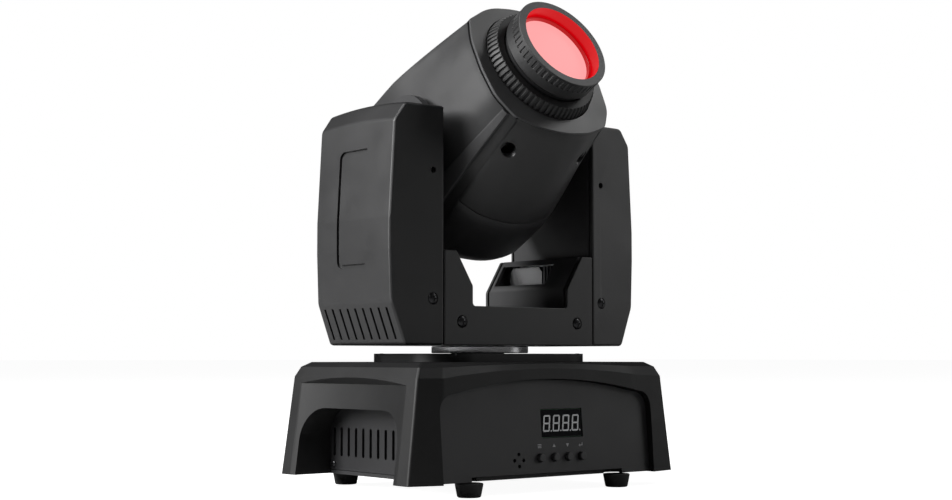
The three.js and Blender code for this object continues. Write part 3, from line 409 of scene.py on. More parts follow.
SMOKED = grained("smoked acrylic", (0.004, 0.004, 0.005), 0.08, grain=0, drift=0.02)
WINDOW_LOW, WINDOW_HIGH, WINDOW_FLOOR, WINDOW_TOP = -3.9, 25.9, 22.1, 37.0
window = prism(
    "display_window",
    rounded([(WINDOW_LOW, WINDOW_FLOOR, 0.4), (WINDOW_HIGH, WINDOW_FLOOR, 0.4),
             (WINDOW_HIGH, WINDOW_TOP, 0.4), (WINDOW_LOW, WINDOW_TOP, 0.4)], 3),
    "Y", 0.3, 1.7,
)
soften(window, 0.12, 1)
finish(seat(window, PANEL), "base", "dark_shell", SMOKED)

DIGIT_GREY = grained("unlit digit grey", (0.62, 0.63, 0.64), 0.5, grain=0, drift=0)
DIGIT = {"wide": 4.1, "high": 4.1, "bar": 0.42, "slant": 0.13, "pitch": 7.1}


def bar(low_x, low_z, high_x, high_z, thick):
    """A short straight bar with pointed ends, leaning as the digits do."""
    along = Vector((high_x - low_x, high_z - low_z)).normalized()
    across = Vector((-along.y, along.x)) * thick
    a, b = Vector((low_x, low_z)) + along * 0.3, Vector((high_x, high_z)) - along * 0.3
    tip = along * thick
    spots = [a - tip, a - across, b - across, b + tip, b + across, a + across]
    return prism("bar", [(p.x + DIGIT["slant"] * p.y, p.y) for p in spots], "Y", 0.16, 0.5)


half_w, high = DIGIT["wide"] / 2, DIGIT["high"]
strokes = [(-half_w, end, half_w, end) for end in (-high, 0, high)]
strokes += [(x, z, x, z + high) for x in (-half_w, half_w) for z in (-high, 0)]
figure = [bar(*stroke, DIGIT["bar"]) for stroke in strokes]
figure.append(prism("point", [(3.1 + 0.45 * math.cos(a), -4.1 + 0.45 * math.sin(a))
                              for a in (k * math.pi / 4 for k in range(8))], "Y", 0.16, 0.5))
choose(*figure)
bpy.ops.object.join()
middle_x, middle_z = (WINDOW_LOW + WINDOW_HIGH) / 2 - 0.4, (WINDOW_FLOOR + WINDOW_TOP) / 2
digits = copies(
    bpy.context.object,
    [(middle_x + DIGIT["pitch"] * (k - 1.5), 0, middle_z) for k in range(4)],
)
digits.name = "display_digits"
finish(seat(digits, PANEL), "base", "button_cap", DIGIT_GREY)

# ---------------------------------------------------------------- buttons and their signs
# Four round push buttons of black rubber, each through its own hole, under small printed signs:
# three bars for the list, a triangle up, a triangle down, and a bent arrow to accept.
BUTTON_RUBBER = grained("button rubber", (0.016, 0.016, 0.017), 0.45, grain=0.15)
PRINTED_GREY = grained("printed grey", (0.33, 0.33, 0.34), 0.6, grain=0, drift=0)
button = turned(
    "button",
    [(0, -2), (2.1, -2), (2.1, 0.4), (2.25, 0.6), (2.25, 1.7), (2.05, 2.15), (1.6, 2.4), (0, 2.4)], 40,
)
BUTTON_X = {"button_menu": -6.4, "button_up": 4.2, "button_down": 14.2, "button_enter": 24.1}
for node, x in BUTTON_X.items():
    cap = button.copy()
    cap.data = button.data.copy()
    cap.name = node + "_cap"
    bpy.context.scene.collection.objects.link(cap)
    soften(cap, 0.08, 1, 40)
    seat(cap, PANEL @ Matrix.Translation((x, 0, 11)) @ Matrix.Rotation(math.pi / 2, 4, "X"))
    finish(cap, node, "button_cap", BUTTON_RUBBER, node)
bpy.data.objects.remove(button)

SIGN_Z = 17.4


def sign_shape(outline, x):
    return prism("sign", [(x + px, SIGN_Z + pz) for px, pz in outline], "Y", -0.06, 0.2)


lines = [[(-1.3, z - 0.18), (1.3, z - 0.18), (1.3, z + 0.18), (-1.3, z + 0.18)] for z in (-0.8, 0, 0.8)]
signs = [sign_shape(line, BUTTON_X["button_menu"]) for line in lines]
signs.append(sign_shape([(-1.1, -0.8), (1.1, -0.8), (0, 1)], BUTTON_X["button_up"]))
signs.append(sign_shape([(-1.1, 0.8), (0, -1), (1.1, 0.8)], BUTTON_X["button_down"]))
arrow = [
    (-1.5, -0.4), (-0.5, -1.2), (-0.5, -0.6), (1.4, -0.6), (1.4, 1), (1, 1), (1, -0.2), (-0.5, -0.2),
    (-0.5, 0.4),
]
signs.append(sign_shape(arrow, BUTTON_X["button_enter"]))
choose(*signs)
bpy.ops.object.join()
signs = bpy.context.object
signs.name = "button_signs"
finish(seat(signs, PANEL), "base", "button_cap", PRINTED_GREY)

# ---------------------------------------------------------------- vent panels
# A black steel sheet closes each hand pocket from inside, punched with a row of round-ended slots.
# One small screw holds its rear lower corner.
VENT_BLACK = grained("painted steel", (0.012, 0.012, 0.013), 0.45, grain=0.2, size=2500, Metallic=0.2)


def slot_outline(half_wide, low, high):
    r = half_wide * 0.999
    ends = [(-half_wide, low, r), (half_wide, low, r), (half_wide, high, r), (-half_wide, high, r)]
    return rounded(ends, 5)


def screw_master():
    """A pan head screw with a cross recess, its seat at height 0."""
    screw = turned(
        "screw",
        [(0, -6), (1.45, -6), (1.45, 0), (2.95, 0), (2.95, 0.55), (2.75, 1.1), (2.2, 1.55), (1.2, 1.8),
         (0, 1.86)], 40,
    )
    for wide, long in ((0.36, 1.7), (1.7, 0.36)):
        cross = [(-wide, -long), (wide, -long), (wide, long), (-wide, long)]
        carve(screw, prism("cross", cross, "Z", 0.9, 3))
    return soften(screw, 0.08, 1, 45)


SCREW_STEEL = grained("blackened screw steel", (0.03, 0.03, 0.032), 0.3, grain=0.05, Metallic=0.7)
MASTER_SCREW = screw_master()


def screws(name, places):
    screw = MASTER_SCREW.copy()
    screw.data = MASTER_SCREW.data.copy()
    bpy.context.scene.collection.objects.link(screw)
    screw = copies(screw, places)
    screw.name = name
    return screw


for side, sign in (("left", -1), ("right", 1)):
    span = sorted((sign * 70.0, sign * 72.0))
    vent = prism(f"vent_sheet_{side}", pocket_arch(2.2, 2.3), "X", *span)
    slot = prism("slot", slot_outline(1.15, 9.9, 26.3), "X", span[0] - 1, span[1] + 1)
    carve(vent, copies(slot, [(0, (k - 6) * 7, 0) for k in range(13)]))
    soften(vent, 0.2, 1, 40)
    finish(vent, "base", "black_metal", VENT_BLACK, f"vent_panel_{side}")
    place = Matrix.Translation((sign * 72.0, 42.5, 5.6)) @ Matrix.Rotation(sign * math.pi / 2, 4, "Y")
    pocket_screw = screws(f"vent_screw_{side}", [place @ Matrix.Scale(0.7, 4)])
    finish(pocket_screw, "base", "bright_metal", SCREW_STEEL)

# ---------------------------------------------------------------- feet and top plate
# Four turned rubber feet, each hollow below for its screw, and the moulded plate that closes the
# case round the pan bearing, held by a sunk screw near each corner.
FOOT_RUBBER = grained("foot rubber", (0.012, 0.012, 0.012), 0.75, grain=0.4)
foot = turned(
    "foot",
    [(0, -0.3), (7.3, -0.3), (7.6, -0.7), (6.35, -7.1), (5.8, -7.7), (3.4, -7.7), (3.2, -7.4), (3.2, -4.2),
     (0, -4.2)], 56,
)
for name, x, y in (("front_left", -54, -56.5), ("front_right", 54, -56.5),
                   ("rear_left", -54, 56.5), ("rear_right", 54, 56.5)):
    rubber = foot.copy()
    rubber.data = foot.data.copy()
    rubber.name = f"rubber_foot_{name}"
    bpy.context.scene.collection.objects.link(rubber)
    soften(seat(rubber, Matrix.Translation((x, y, 0))), 0.25, 2, 40)
    finish(rubber, "base", "rubber_foot", FOOT_RUBBER, f"foot_{name}")
bpy.data.objects.remove(foot)

plate = prism(
    "bearing_plate",
    rounded([(60, -38, 25), (60, 38, 25), (-60, 38, 25), (-60, -38, 25)], 14), "Z", 63.0, 67.6,
)
carve(plate, rod("bore", 15, 60, 70, 64))
PLATE_SCREWS = [Vector((x, y, 0)) for x in (-46, 46) for y in (-33, 33)]
SEAT_LEVEL = 66.3
for spot in PLATE_SCREWS:
    carve(plate, seat(rod("seat", 2.7, SEAT_LEVEL, 70, 40), Matrix.Translation(spot)))
soften(plate, 0.6, 3, 40)
finish(plate, "base", "black_shell", MOULDED_BLACK, "top_plate")
plate_screws = screws(
    "bearing_plate_screws",
    [Matrix.Translation((spot.x, spot.y, SEAT_LEVEL)) @ Matrix.Scale(0.8, 4) for spot in PLATE_SCREWS],
)
finish(plate_screws, "base", "bright_metal", SCREW_STEEL)

# ---------------------------------------------------------------- pan column
# The pan shaft is turned from bright steel: a wide collar shows between the case and the yoke,
# and the tube above it carries the toothed pulley.
BRUSHED = grained(
    "turned bright steel", (0.6, 0.6, 0.61), 0.22, grain=0.05, size=5000, drift=0.1, Metallic=1.0,
)
column = turned(
    "pan_column",
    [(10, 56), (20, 56), (20, 59), (14, 59), (14, 67.9), (27.4, 67.9), (27.9, 68.2), (27.9, 71.4),
     (27.5, 71.8), (14, 71.8), (14, 90), (10, 90)], 128,
)
soften(column, 0.15, 1, 30)
finish(column, "base", "bright_metal", BRUSHED, "pan_shaft")

# ---------------------------------------------------------------- yoke covers
# Two moulded bezels close the crosspiece, and a moulded cover closes each arm. The arm covers are
# bevelled all round, crowned on top, slotted below for air, and grooved on their outer face.
YOKE_BLACK = grained("yoke black", (0.0115, 0.0115, 0.012), 0.42, grain=0.3)
BEZEL_FACE, BEZEL_WALL, COVER_LOW, COVER_TOP = 36.75, 2, 72.1, 201.1
BEZEL_SCREW, ARM_SCREW, PEEPHOLE_Z = (42.6, 84.9), (62.4, 97), 166.4


def arm_face(x):
    return BEZEL_FACE * (1 - 0.053 * (x - 55) / 35.2)


def cross_rod(name, radius, x, z, low, high, face_sign):
    """A rod along Y, reaching from low to high on the given face."""
    tool = rod(name, radius, low, high, 40)
    return seat(tool, Matrix.Translation((x, 0, z)) @ Matrix.Rotation(-face_sign * math.pi / 2, 4, "X"))


half_bezel = [(54.85, 72.1, 0), (54.85, 123.7, 0.8), (46.5, 123.7, 1.5), (34.9, 104.6, 3), (34.9, 93.6, 2)]
bezel_outline = half_bezel + [(-x, z, r) for x, z, r in reversed(half_bezel)]
for node, face in (("front_bezel", -1), ("rear_bezel", 1)):
    bezel = prism(
        node + "_cover", rounded(bezel_outline, 5), "Y",
        *sorted((face * BEZEL_FACE, face * (BEZEL_FACE - BEZEL_WALL))),
    )
    for x in (-BEZEL_SCREW[0], BEZEL_SCREW[0]):
        carve(bezel, cross_rod("seat", 3.3, x, BEZEL_SCREW[1], BEZEL_FACE - 1.2, 40, face))
    soften(bezel, 0.7, 3, 40)
    finish(bezel, "yoke", "black_shell", YOKE_BLACK, node)

ARM_EDGE = [
    (80.3, 72.1, 3), (89.1, 94.9, 10), (90.2, 123, 30), (90.2, 140, 30), (87.3, 191.2, 5), (80.2, 201.1, 4),
]
ARM_LIFT, ARM_CROWN = 2.4, 1.8  # the top rises by the lift at mid depth, and by less at front and rear
VENT_SLOTS, VENT_PITCH, VENT_HALF, VENT_LEVEL = 9, 7.2, 8.4, 83.6
GROOVE_HALF, GROOVE_DEPTH = 1.1, 1.3


def outer_face(z):
    """How far out the arm's outer face lies at a height."""
    if z <= 123:
        return 89.1 + (z - 94.9) * 1.1 / 28.1
    return 90.2 - max(0, z - 140) * 2.9 / 51.2


def tapered(piece):
    for vertex in piece.data.vertices:
        vertex.co.y *= 1 - 0.053 * max(0, abs(vertex.co.x) - 55) / 35.2
    return piece


def arm_cover(side, sign):
    def span(corners):
        return rounded([(sign * x, z, r) for x, z, r in corners], 6)

    edge = span([(55.15, COVER_LOW, 0), *ARM_EDGE, (55.15, COVER_TOP, 0)])
    stations = [BEZEL_FACE * (k / 6 - 1) for k in range(13)]
    rings = []
    for y in stations:
        lift = ARM_LIFT - ARM_CROWN * (y / BEZEL_FACE) ** 2
        rings.append([(x, y, z + (lift if z > 180 else 0)) for x, z in edge])
    cover = tapered(loft(f"arm_shell_{side}", rings))
    modify(cover, "BEVEL", width=1.4, segments=4, limit_method="ANGLE", angle_limit=math.radians(60))
    wall = 2
    within = [(50, COVER_LOW + wall, 0), (79, COVER_LOW + wall, 2), (87, 96, 6), (88.2, 123, 20),
              (88.2, 140, 20), (85.3, 190.6, 4), (79, COVER_TOP - wall, 3), (50, COVER_TOP - wall, 0)]
    carve(cover, tapered(prism("hollow", span(within), "Y", wall - BEZEL_FACE, BEZEL_FACE - wall)))
    x, z = ARM_SCREW
    for face in (-1, 1):
        carve(
            cover,
            cross_rod("seat", 3.3, sign * x, z, arm_face(x) - 1.2, 40, face),
            cross_rod("peephole", 1.75, sign * x, PEEPHOLE_Z, 30, 40, face),
        )
    slot = prism("slot", [(-0.9, -1), (0.9, -1), (0.9, 1), (-0.9, 1)], "X", -20, 20)
    slot.data.transform(Matrix.Diagonal((1, 1, VENT_HALF, 1)))
    slot.data.transform(Matrix.Translation((sign * 97, 0, VENT_LEVEL)))
    carve(cover, copies(slot, [(0, VENT_PITCH * (k - VENT_SLOTS // 2), 0) for k in range(VENT_SLOTS)]))

    def frame_tool(grow):
        corner = 3.2 + grow
        corners = [(-13.4 - grow, 114.8 - grow, corner), (13.4 + grow, 114.8 - grow, corner),
                   (13.4 + grow, 177.3 + grow, corner), (-13.4 - grow, 177.3 + grow, corner)]
        tool = prism("groove", rounded(corners, 6), "X", *sorted((sign * 80, sign * 96)))
        for vertex in tool.data.vertices:
            if abs(vertex.co.x) < 88:
                vertex.co.x = sign * (outer_face(vertex.co.z) - GROOVE_DEPTH)
        return tool

    # the groove runs round three sides only, and is open towards the front
    groove = frame_tool(GROOVE_HALF)
    island = frame_tool(-GROOVE_HALF)
    open_side = [(-20, 110), (-11.5, 110), (-11.5, 182), (-20, 182)]
    carve(groove, prism("open side", open_side, "X", *sorted((sign * 70, sign * 99))))
    for vertex in island.data.vertices:
        vertex.co.x += sign * (2 if abs(vertex.co.x) > 93 else -3)
    carve(cover, carve(groove, island))
    return soften(cover, 0.3, 2, 32, 32)


for side, sign in (("left", -1), ("right", 1)):
    finish(arm_cover(side, sign), "yoke", "black_shell", YOKE_BLACK, f"arm_cover_{side}")

# ---------------------------------------------------------------- yoke screws
# Black pan head screws sit sunk in the bezels and the arm covers, front and rear.
def face_place(x, z, face, depth):
    return Matrix.Translation((x, face * depth, z)) @ Matrix.Rotation(-face * math.pi / 2, 4, "X")


for side, sign in (("left", -1), ("right", 1)):
    for kind, (x, z) in (("bezel", BEZEL_SCREW), ("arm", ARM_SCREW)):
        depth = (arm_face(x) if kind == "arm" else BEZEL_FACE) - 0.9
        front_screw = screws(f"front_{kind}_screw_{side}", [face_place(sign * x, z, -1, depth)])
        finish(front_screw, "yoke", "bright_metal", SCREW_STEEL, f"{kind}_screw_{side}")
rear_places = [
    face_place(sign * x, z, 1, depth - 0.9)
    for (x, z), depth in ((BEZEL_SCREW, BEZEL_FACE), (ARM_SCREW, arm_face(ARM_SCREW[0])))
    for sign in (-1, 1)
]
finish(screws("rear_yoke_screws", rear_places), "yoke", "bright_metal", SCREW_STEEL)
bpy.data.objects.remove(MASTER_SCREW)

# ---------------------------------------------------------------- inner covers
# The moulded channel between the arms, in two halves; the right one has a window to the tilt drive.
INNER_BLACK = grained("inner cover black", (0.014, 0.014, 0.015), 0.5, grain=0.3)
for side in ("left", "right"):
    inner = soften(working_copy(f"inner_cover_{side}", f"inner_channel_{side}"), 0.4, 2, 35)
    finish(inner, "yoke", "dark_shell", INNER_BLACK, f"inner_cover_{side}")

# ---------------------------------------------------------------- head shells
# Three black mouldings meet round the optics: the upper shell, the cover below its sloping joint,
# and the vented cover behind. A raised rib runs along the upper shell, just above a sunk strip.
HEAD = Matrix.Translation((0, 0, 189.8)) @ Matrix.Rotation(math.radians(60.45), 4, "X")
AXIS_Y = 6.3
HEAD_BLACK = grained("head black", (0.018, 0.018, 0.0185), 0.42, grain=0.2, Specular_IOR_Level=0.45)


def mirrored(top, half, bottom):
    """A whole outline of (x, y, radius) corners from its top, its right half and its bottom."""
    return rounded(top + half + bottom + [(-x, y, r) for x, y, r in reversed(top[1:] + half)], 8)


WIDEST_HALF = [
    (30, 47, 60), (46, 41, 2.5), (46.8, 15, 90), (46.5, -10, 90), (42, -33, 40), (36, -47.5, 18),
    (24.6, -55.8, 22),
]
FRONT_HALF = [
    (38.4, 28.9, 1.2), (42.9, 14.6, 40), (43.8, -6, 40), (41.6, -24, 20), (33.5, -37, 10), (18.9, -42.8, 40),
]
HEAD_PROFILE = [Vector((x, y - AXIS_Y)) for x, y in mirrored([(0, 50.5, 90)], WIDEST_HALF, [(0, -62, 60)])]
FRONT_EDGE = [Vector(p) for p in mirrored([(0, 42.6, 60), (20, 40.4, 40)], FRONT_HALF, [(0, -45.2, 60)])]


def reach_at(edge, angle):
    """How far an outline lies from the optical axis in one direction."""
    ray = Vector((math.cos(angle), math.sin(angle)))
    for k, corner in enumerate(edge):
        along = edge[(k + 1) % len(edge)] - corner
        span = ray.cross(along)
        if abs(span) < 1e-9:
            continue
        reach, share = corner.cross(along) / span, corner.cross(ray) / span
        if reach > 0 and -1e-6 <= share <= 1 + 1e-6:
            return reach
    raise ValueError("the head outline is open")


CREASE = math.atan2(34.7, 46)  # the direction of the corner between the top and a side
HEAD_ANGLES = sorted(
    [2 * math.pi * (k + 0.5) / 112 for k in range(112)]
    + [corner + nudge for corner in (CREASE, math.pi - CREASE) for nudge in (-0.012, 0.012)]
)
HEAD_REACH = [reach_at(HEAD_PROFILE, angle) for angle in HEAD_ANGLES]
FRONT_REACH = [reach_at(FRONT_EDGE, angle) for angle in HEAD_ANGLES]
HEAD_LEVELS = (
    62.3, 60, 57, 53, 48, 42, 36, 30, 23, 16, 10, 4, -4, -12, -21, -30, -35, -39, -42, -45, -48,
)


def head_ring(level, inset):
    """The head's section at a level: it widens evenly from the front edge, and closes at the tail."""
    blend = 1 - (1 - min(1, max(0, (60 - level) / 66))) ** 1.25
    tail = min(1, max(0, (-30 - level) / 18))
    shrink = 1 - 0.27 * tail**2
    ring = []
    for angle, front, widest in zip(HEAD_ANGLES, FRONT_REACH, HEAD_REACH):
        reach = (front + (widest - front) * blend - inset) * shrink
        ring.append((reach * math.cos(angle), AXIS_Y + reach * math.sin(angle), level))
    return ring


def head_body(name, inset, levels):
    return loft(name, [head_ring(level, inset) for level in levels])


def below_joint(name, low, high, far=-90, gap=-0.15, line=(-44.8, 0.216)):
    """A block across the head, on one side of a sloping line (the joint) between two stations."""
    def edge(level):
        return line[0] + line[1] * level + gap

    return prism(name, [(edge(low), low), (far, low), (far, high), (edge(high), high)], "X", -80, 80)


def head_skin(name):
    skin = head_body(name, 0, HEAD_LEVELS)
    return carve(skin, head_body("room", 2.5, (64, *HEAD_LEVELS[1:-1], -45.5)))


def finish_head(piece, slot, material, *nodes, body="head"):
    return finish(seat(piece, HEAD), body, slot, material, *nodes)


upper = head_skin("upper_head_shell")
carve(upper, below_joint("above", -26, 63, far=90, gap=0.15), keep="INTERSECT")
carve(upper, seat(rod("shaft hole", 6.8, -70, 70), Matrix.Rotation(math.pi / 2, 4, "Y")))
side_step = [(-34, 60.9), (34.6, 60.9), (34.6, 64), (-34, 64)]
carve(upper, prism("side step", side_step, "X", -60, 60))
RIB_LOW, RIB_HIGH = (-38.8, 0.184), (-29.5, 0.078)  # its two edges: height at station 0, and slope
strip = carve(head_body("strip", -2, HEAD_LEVELS), head_body("room", 1.1, (64, *HEAD_LEVELS, -50)))
carve(strip, below_joint("band", -22, 66, line=RIB_LOW), keep="INTERSECT")
carve(upper, strip)
soften(upper, 0.3, 2, 38, 18, flat=False)
finish_head(upper, "black_shell", HEAD_BLACK, "upper_shell")

# painted highlight: the rib's black is set lighter than the shell's, standing in for the light its tilted
# face catches
RIB_PAINTED_HIGHLIGHT = grained("rib black painted highlight", (0.034, 0.034, 0.035), 0.45, grain=0.15)
rib = head_body("upper_shell_rib", -1.0, HEAD_LEVELS)
carve(rib, head_body("room", -0.05, (64, *HEAD_LEVELS, -50)))
carve(rib, below_joint("low edge", -50, 70, line=RIB_LOW))
carve(rib, below_joint("band", -12, 61.0, line=RIB_HIGH), keep="INTERSECT")
soften(rib, 0.5, 2, 38, 32, flat=False)
finish_head(rib, "black_shell", RIB_PAINTED_HIGHLIGHT)

lower = carve(head_skin("lower_head_cover"), below_joint("below", 3.3, 63), keep="INTERSECT")
for x in (-27, 27):
    place = Matrix.Translation((x, 0, 44)) @ Matrix.Rotation(math.pi / 2, 4, "X")
    carve(lower, seat(rod("well", 4.15, 20, 70), place))
soften(lower, 0.35, 2, 38, 32, flat=False)
finish_head(lower, "black_shell", HEAD_BLACK, "lower_cover")

REAR_BLACK = grained("rear cover black", (0.013, 0.013, 0.014), 0.5, grain=0.3)
rear = head_skin("rear_head_cover")
behind = prism("behind", [(-90, -60), (90, -60), (90, -26.3), (-90, -26.3)], "X", -80, 80)
carve(behind, below_joint("below", -27, 3), keep="UNION")
carve(rear, behind, keep="INTERSECT")
outlet = seat(
    prism("outlet", slot_outline(1.5, -17, 17), "Z", -60, -40), Matrix.Rotation(math.pi / 2, 4, "Z")
)
carve(rear, copies(outlet, [(0, -14.5 + 6 * k, 0) for k in range(7)]))
soften(rear, 0.3, 2, 38, 32, flat=False)
finish_head(rear, "dark_shell", REAR_BLACK, "rear_cover")

# ---------------------------------------------------------------- front cap and ribbed collar
# A flat moulded ring closes the front of the head, and a ribbed collar holds the focus barrel in it.
# Along the two sides a dark groove shows between the ring and the upper shell.
CAP_BLACK = grained("cap black", (0.04, 0.04, 0.041), 0.42, grain=0.2)
ON_AXIS = Matrix.Translation((0, AXIS_Y, 0))
STEP_SPAN, STEP_SUNK = (math.radians(-52), CREASE), 1.2


def cap_ring(level, share, sunk=0.0):
    """The cap's edge: low down it hides behind the shells, and leaves a dark groove along the sides."""
    ring = []
    for angle, front in zip(HEAD_ANGLES, FRONT_REACH):
        folded = math.asin(math.sin(angle))
        aside = STEP_SPAN[0] < folded < STEP_SPAN[1]
        reach = front * share - (min(sunk, STEP_SUNK) if aside else sunk)
        ring.append((reach * math.cos(angle), AXIS_Y + reach * math.sin(angle), level))
    return ring


cap = loft(
    "head_front_cap",
    [cap_ring(60.9, 1, 3.1), cap_ring(61.9, 1, 3.1), cap_ring(62.4, 1), cap_ring(63.2, 1),
     cap_ring(63.5, 0.993)],
)
carve(cap, seat(rod("bore", 35.6, 55, 70, 120), ON_AXIS))
soften(cap, 0.12, 1, 50)
finish_head(cap, "black_shell", CAP_BLACK, "front_cap")


def ribbed(name, levels, ribs, depth):
    """A body with even axial ribs; levels hold (height, radius, share of the rib depth)."""
    rings = []
    for height, radius, share in levels:
        ring = []
        for k in range(ribs):
            for part, sunk in ((0, 0), (0.42, 0), (0.56, 1), (0.86, 1)):
                angle = 2 * math.pi * (k + part) / ribs
                reach = radius - depth * share * sunk
                ring.append((reach * math.cos(angle), reach * math.sin(angle), height))
        rings.append(ring)
    return loft(name, rings)


RIB_BLACK = grained("ribbed collar black", (0.006, 0.006, 0.0063), 0.55, grain=0.15)
collar = ribbed(
    "ribbed_collar",
    [(58, 35.0, 0), (63.4, 35.0, 0), (63.6, 35.2, 1), (66.4, 34.7, 1), (69.4, 33.6, 1), (70.2, 32.9, 0.2)],
    66, 1.1,
)
carve(collar, rod("bore", 28.2, 50, 80, 120))
soften(collar, 0.15, 1, 40, 30)
finish_head(seat(collar, ON_AXIS), "black_shell", RIB_BLACK, "lens_collar")

# ---------------------------------------------------------------- focus ring
# The focus barrel ends in a gripped ring that is turned by hand. Its front face is satin grey, and
# its bore is painted with a red glow that stands in for the beam lighting it.
GRIP_BLACK = grained("focus grip black", (0.009, 0.009, 0.0095), 0.45, grain=0.15)
RIM_GREY = grained("rim satin grey", (0.06, 0.06, 0.061), 0.5, grain=0.3)


def glowing(name, tone, strength, polish=0.3):
    material = grained(name, [0.2 * c for c in tone], polish, grain=0, drift=0)
    shader = material.node_tree.nodes["Principled BSDF"]
    shader.inputs["Emission Color"].default_value = (*tone, 1)
    shader.inputs["Emission Strength"].default_value = strength
    return material


# painted light: the bore wall gets a red emission in place of the beam's light falling on it
BORE_PAINTED_GLOW = glowing("bore painted red glow", (0.55, 0.0, 0.003), 0.95)
grip = ribbed(
    "focus_grip",
    [(73.4, 28.9, 0), (74.2, 29.2, 0), (79.4, 29.2, 0), (79.8, 29.2, 1), (84.4, 29.2, 1), (84.7, 29.2, 0),
     (85.8, 29.2, 0), (86.0, 29.0, 0)], 52, 0.6,
)
barrel = turned("barrel", [(24.7, 44), (27, 44), (27, 71.5), (29, 73.6), (24.7, 73.6)], 144)
carve(grip, rod("bore", 24.7, 60, 90, 144))
carve(grip, barrel, keep="UNION")
soften(grip, 0.2, 2, 40, 30)
finish_head(
    seat(grip, ON_AXIS), "black_shell", [GRIP_BLACK, BORE_PAINTED_GLOW, RIM_GREY], "focus_ring", body="focus_ring",
)
BORE_REACH, RIM_LEVEL = 0.02475, 0.0078  # metres from the optic axis, and ahead of the centre
optic_centre = HEAD @ Vector((0, AXIS_Y, 78)) * 0.001
optic_way = (HEAD.to_3x3() @ Vector((0, 0, 1))).normalized()
# the faces inside the bore take the painted red glow, the faces ahead of the rim take the grey
for face in grip.data.polygons:
    outward = face.center - optic_centre
    along = outward.dot(optic_way)
    if (outward - along * optic_way).length < BORE_REACH and -0.02 < along < RIM_LEVEL:
        face.material_index = 1
    elif along > RIM_LEVEL:
        face.material_index = 2

# ---------------------------------------------------------------- front lens
# A plano-convex lens in its sliding cell; the red beam fills it.
LENS_PINK = glowing("lens lit red", (1.0, 0.4, 0.4), 0.95, 0.6)
pink_shader = LENS_PINK.node_tree.nodes["Principled BSDF"]
pink_shader.inputs["Specular IOR Level"].default_value = 0.1
dome = [(22.8 * k / 16, 77 + 3 * (1 - (k / 16) ** 2)) for k in range(17)]
lens = turned("front_lens_glass", [(0, 75)] + [(22.8, 75)] + dome[::-1], 128)
choose(lens)
bpy.ops.object.shade_smooth_by_angle(angle=math.radians(30))
finish_head(seat(lens, ON_AXIS), "lens_glass", LENS_PINK, "front_lens", body="lens_carrier")
cell = turned(
    "lens_holder",
    [(20.5, 70), (24.4, 70), (24.4, 79), (23.9, 79.2), (23.1, 79), (23.1, 72), (20.5, 72)], 128,
)
soften(cell, 0.1, 1, 30)
# painted light: the lens holder gets a red emission in place of the beam's light falling on it
CELL_PAINTED_GLOW = glowing("cell painted red glow", (0.6, 0.002, 0.004), 0.6)
finish_head(seat(cell, ON_AXIS), "black_shell", CELL_PAINTED_GLOW, "lens_cell", body="lens_carrier")

# ---------------------------------------------------------------- works inside
# Motors, boards, wheels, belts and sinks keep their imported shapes; each gets its own finish.
CIRCUIT = grained("circuit board green", (0.02, 0.09, 0.035), 0.45, grain=0.1)
BELT = grained("belt rubber", (0.01, 0.01, 0.01), 0.7, grain=0.3)
NYLON = grained("white nylon", (0.75, 0.74, 0.70), 0.5, grain=0.1)
SHEET_STEEL = grained("zinc plated sheet", (0.55, 0.56, 0.58), 0.35, grain=0.2, size=900, Metallic=0.9)
BLACK_SHEET = grained("black painted sheet", (0.015, 0.015, 0.016), 0.5, grain=0.2, Metallic=0.2)
SLOT_FINISH = {
    "black_shell": MOULDED_BLACK, "dark_shell": INNER_BLACK, "rubber_foot": FOOT_RUBBER,
    "steel_sheet": SHEET_STEEL, "bright_metal": BRUSHED, "black_metal": BLACK_SHEET, "circuit_board": CIRCUIT,
    "lens_glass": LENS_PINK, "drive_belt": BELT, "nylon": NYLON, "button_cap": BUTTON_RUBBER,
}
for row in frame["record"]["subparts"]:
    packed = frame["nodes"][row["node"]]
    packed.data.materials.clear()
    packed.data.materials.append(SLOT_FINISH[row["material_slot"]])

# ---------------------------------------------------------------- studio
# A pale floor, white surroundings, four soft lights and the camera.
floor_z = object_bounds()[0][2]
bpy.ops.mesh.primitive_plane_add(size=60, location=(0, 0, floor_z))
floor = bpy.context.object
floor.name = "studio_floor"
FLOOR_PALE = grained("pale floor", (0.4, 0.4, 0.4), 0.9, grain=0, drift=0)
floor_tree = FLOOR_PALE.node_tree
floor_glow = floor_tree.nodes.new("ShaderNodeEmission")
floor_mix = floor_tree.nodes.new("ShaderNodeAddShader")
floor_seen = floor_tree.nodes.new("ShaderNodeMixShader")
floor_path = floor_tree.nodes.new("ShaderNodeLightPath")
floor_glow.inputs["Strength"].default_value = 0.95
floor_shader = floor_tree.nodes["Principled BSDF"].outputs["BSDF"]
floor_tree.links.new(floor_glow.outputs["Emission"], floor_mix.inputs[0])
floor_tree.links.new(floor_shader, floor_mix.inputs[1])
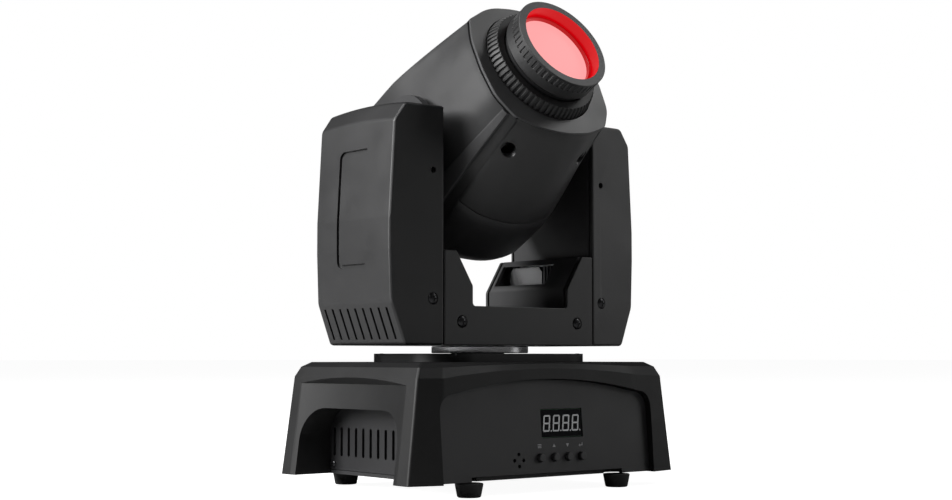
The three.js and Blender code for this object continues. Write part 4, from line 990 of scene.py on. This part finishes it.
floor_tree.links.new(floor_path.outputs["Is Camera Ray"], floor_seen.inputs["Fac"])
floor_tree.links.new(floor_shader, floor_seen.inputs[1])
floor_tree.links.new(floor_mix.outputs["Shader"], floor_seen.inputs[2])
floor_tree.links.new(floor_seen.outputs["Shader"], floor_tree.nodes["Material Output"].inputs["Surface"])
floor.data.materials.append(FLOOR_PALE)

world = bpy.data.worlds.new("studio")
bpy.context.scene.world = world
world.use_nodes = True
sky = world.node_tree
light_path = sky.nodes.new("ShaderNodeLightPath")
seen, cast = sky.nodes["Background"], sky.nodes.new("ShaderNodeBackground")
seen.inputs["Color"].default_value = (1, 1, 1, 1)
cast.inputs["Color"].default_value = (1, 1, 1, 1)
cast.inputs["Strength"].default_value = 0.045
blend = sky.nodes.new("ShaderNodeMixShader")
sky.links.new(light_path.outputs["Is Camera Ray"], blend.inputs["Fac"])
sky.links.new(cast.outputs["Background"], blend.inputs[1])
sky.links.new(seen.outputs["Background"], blend.inputs[2])
sky.links.new(blend.outputs["Shader"], sky.nodes["World Output"].inputs["Surface"])


def soft_light(name, place, size, power):
    data = bpy.data.lights.new(name, "AREA")
    data.shape, data.size, data.energy = "DISK", size, power
    lamp = bpy.data.objects.new(name, data)
    bpy.context.scene.collection.objects.link(lamp)
    lamp.location = place
    lamp.rotation_euler = (Vector((0, 0, 0.13)) - Vector(place)).to_track_quat("-Z", "Y").to_euler()


soft_light("left rear light", (-1.9, 0.55, 0.9), 1.2, 80)
soft_light("top light", (-1.1, 0.3, 1.6), 1.2, 26)
soft_light("front fill", (1.7, -1.2, 0.6), 1.0, 4.5)
soft_light("high front light", (1.4, -0.65, 1.6), 0.8, 7)

lens_data = bpy.data.cameras.new("camera")
lens_data.lens, lens_data.sensor_width = 59.22, 36
camera = bpy.data.objects.new("camera", lens_data)
bpy.context.scene.collection.objects.link(camera)
camera.location = (-0.5773, -0.6984, 0.0659)
camera.rotation_euler = (math.radians(93.896), 0, math.radians(-39.44))
bpy.context.scene.camera = camera
bpy.context.scene.view_settings.view_transform = "Standard"
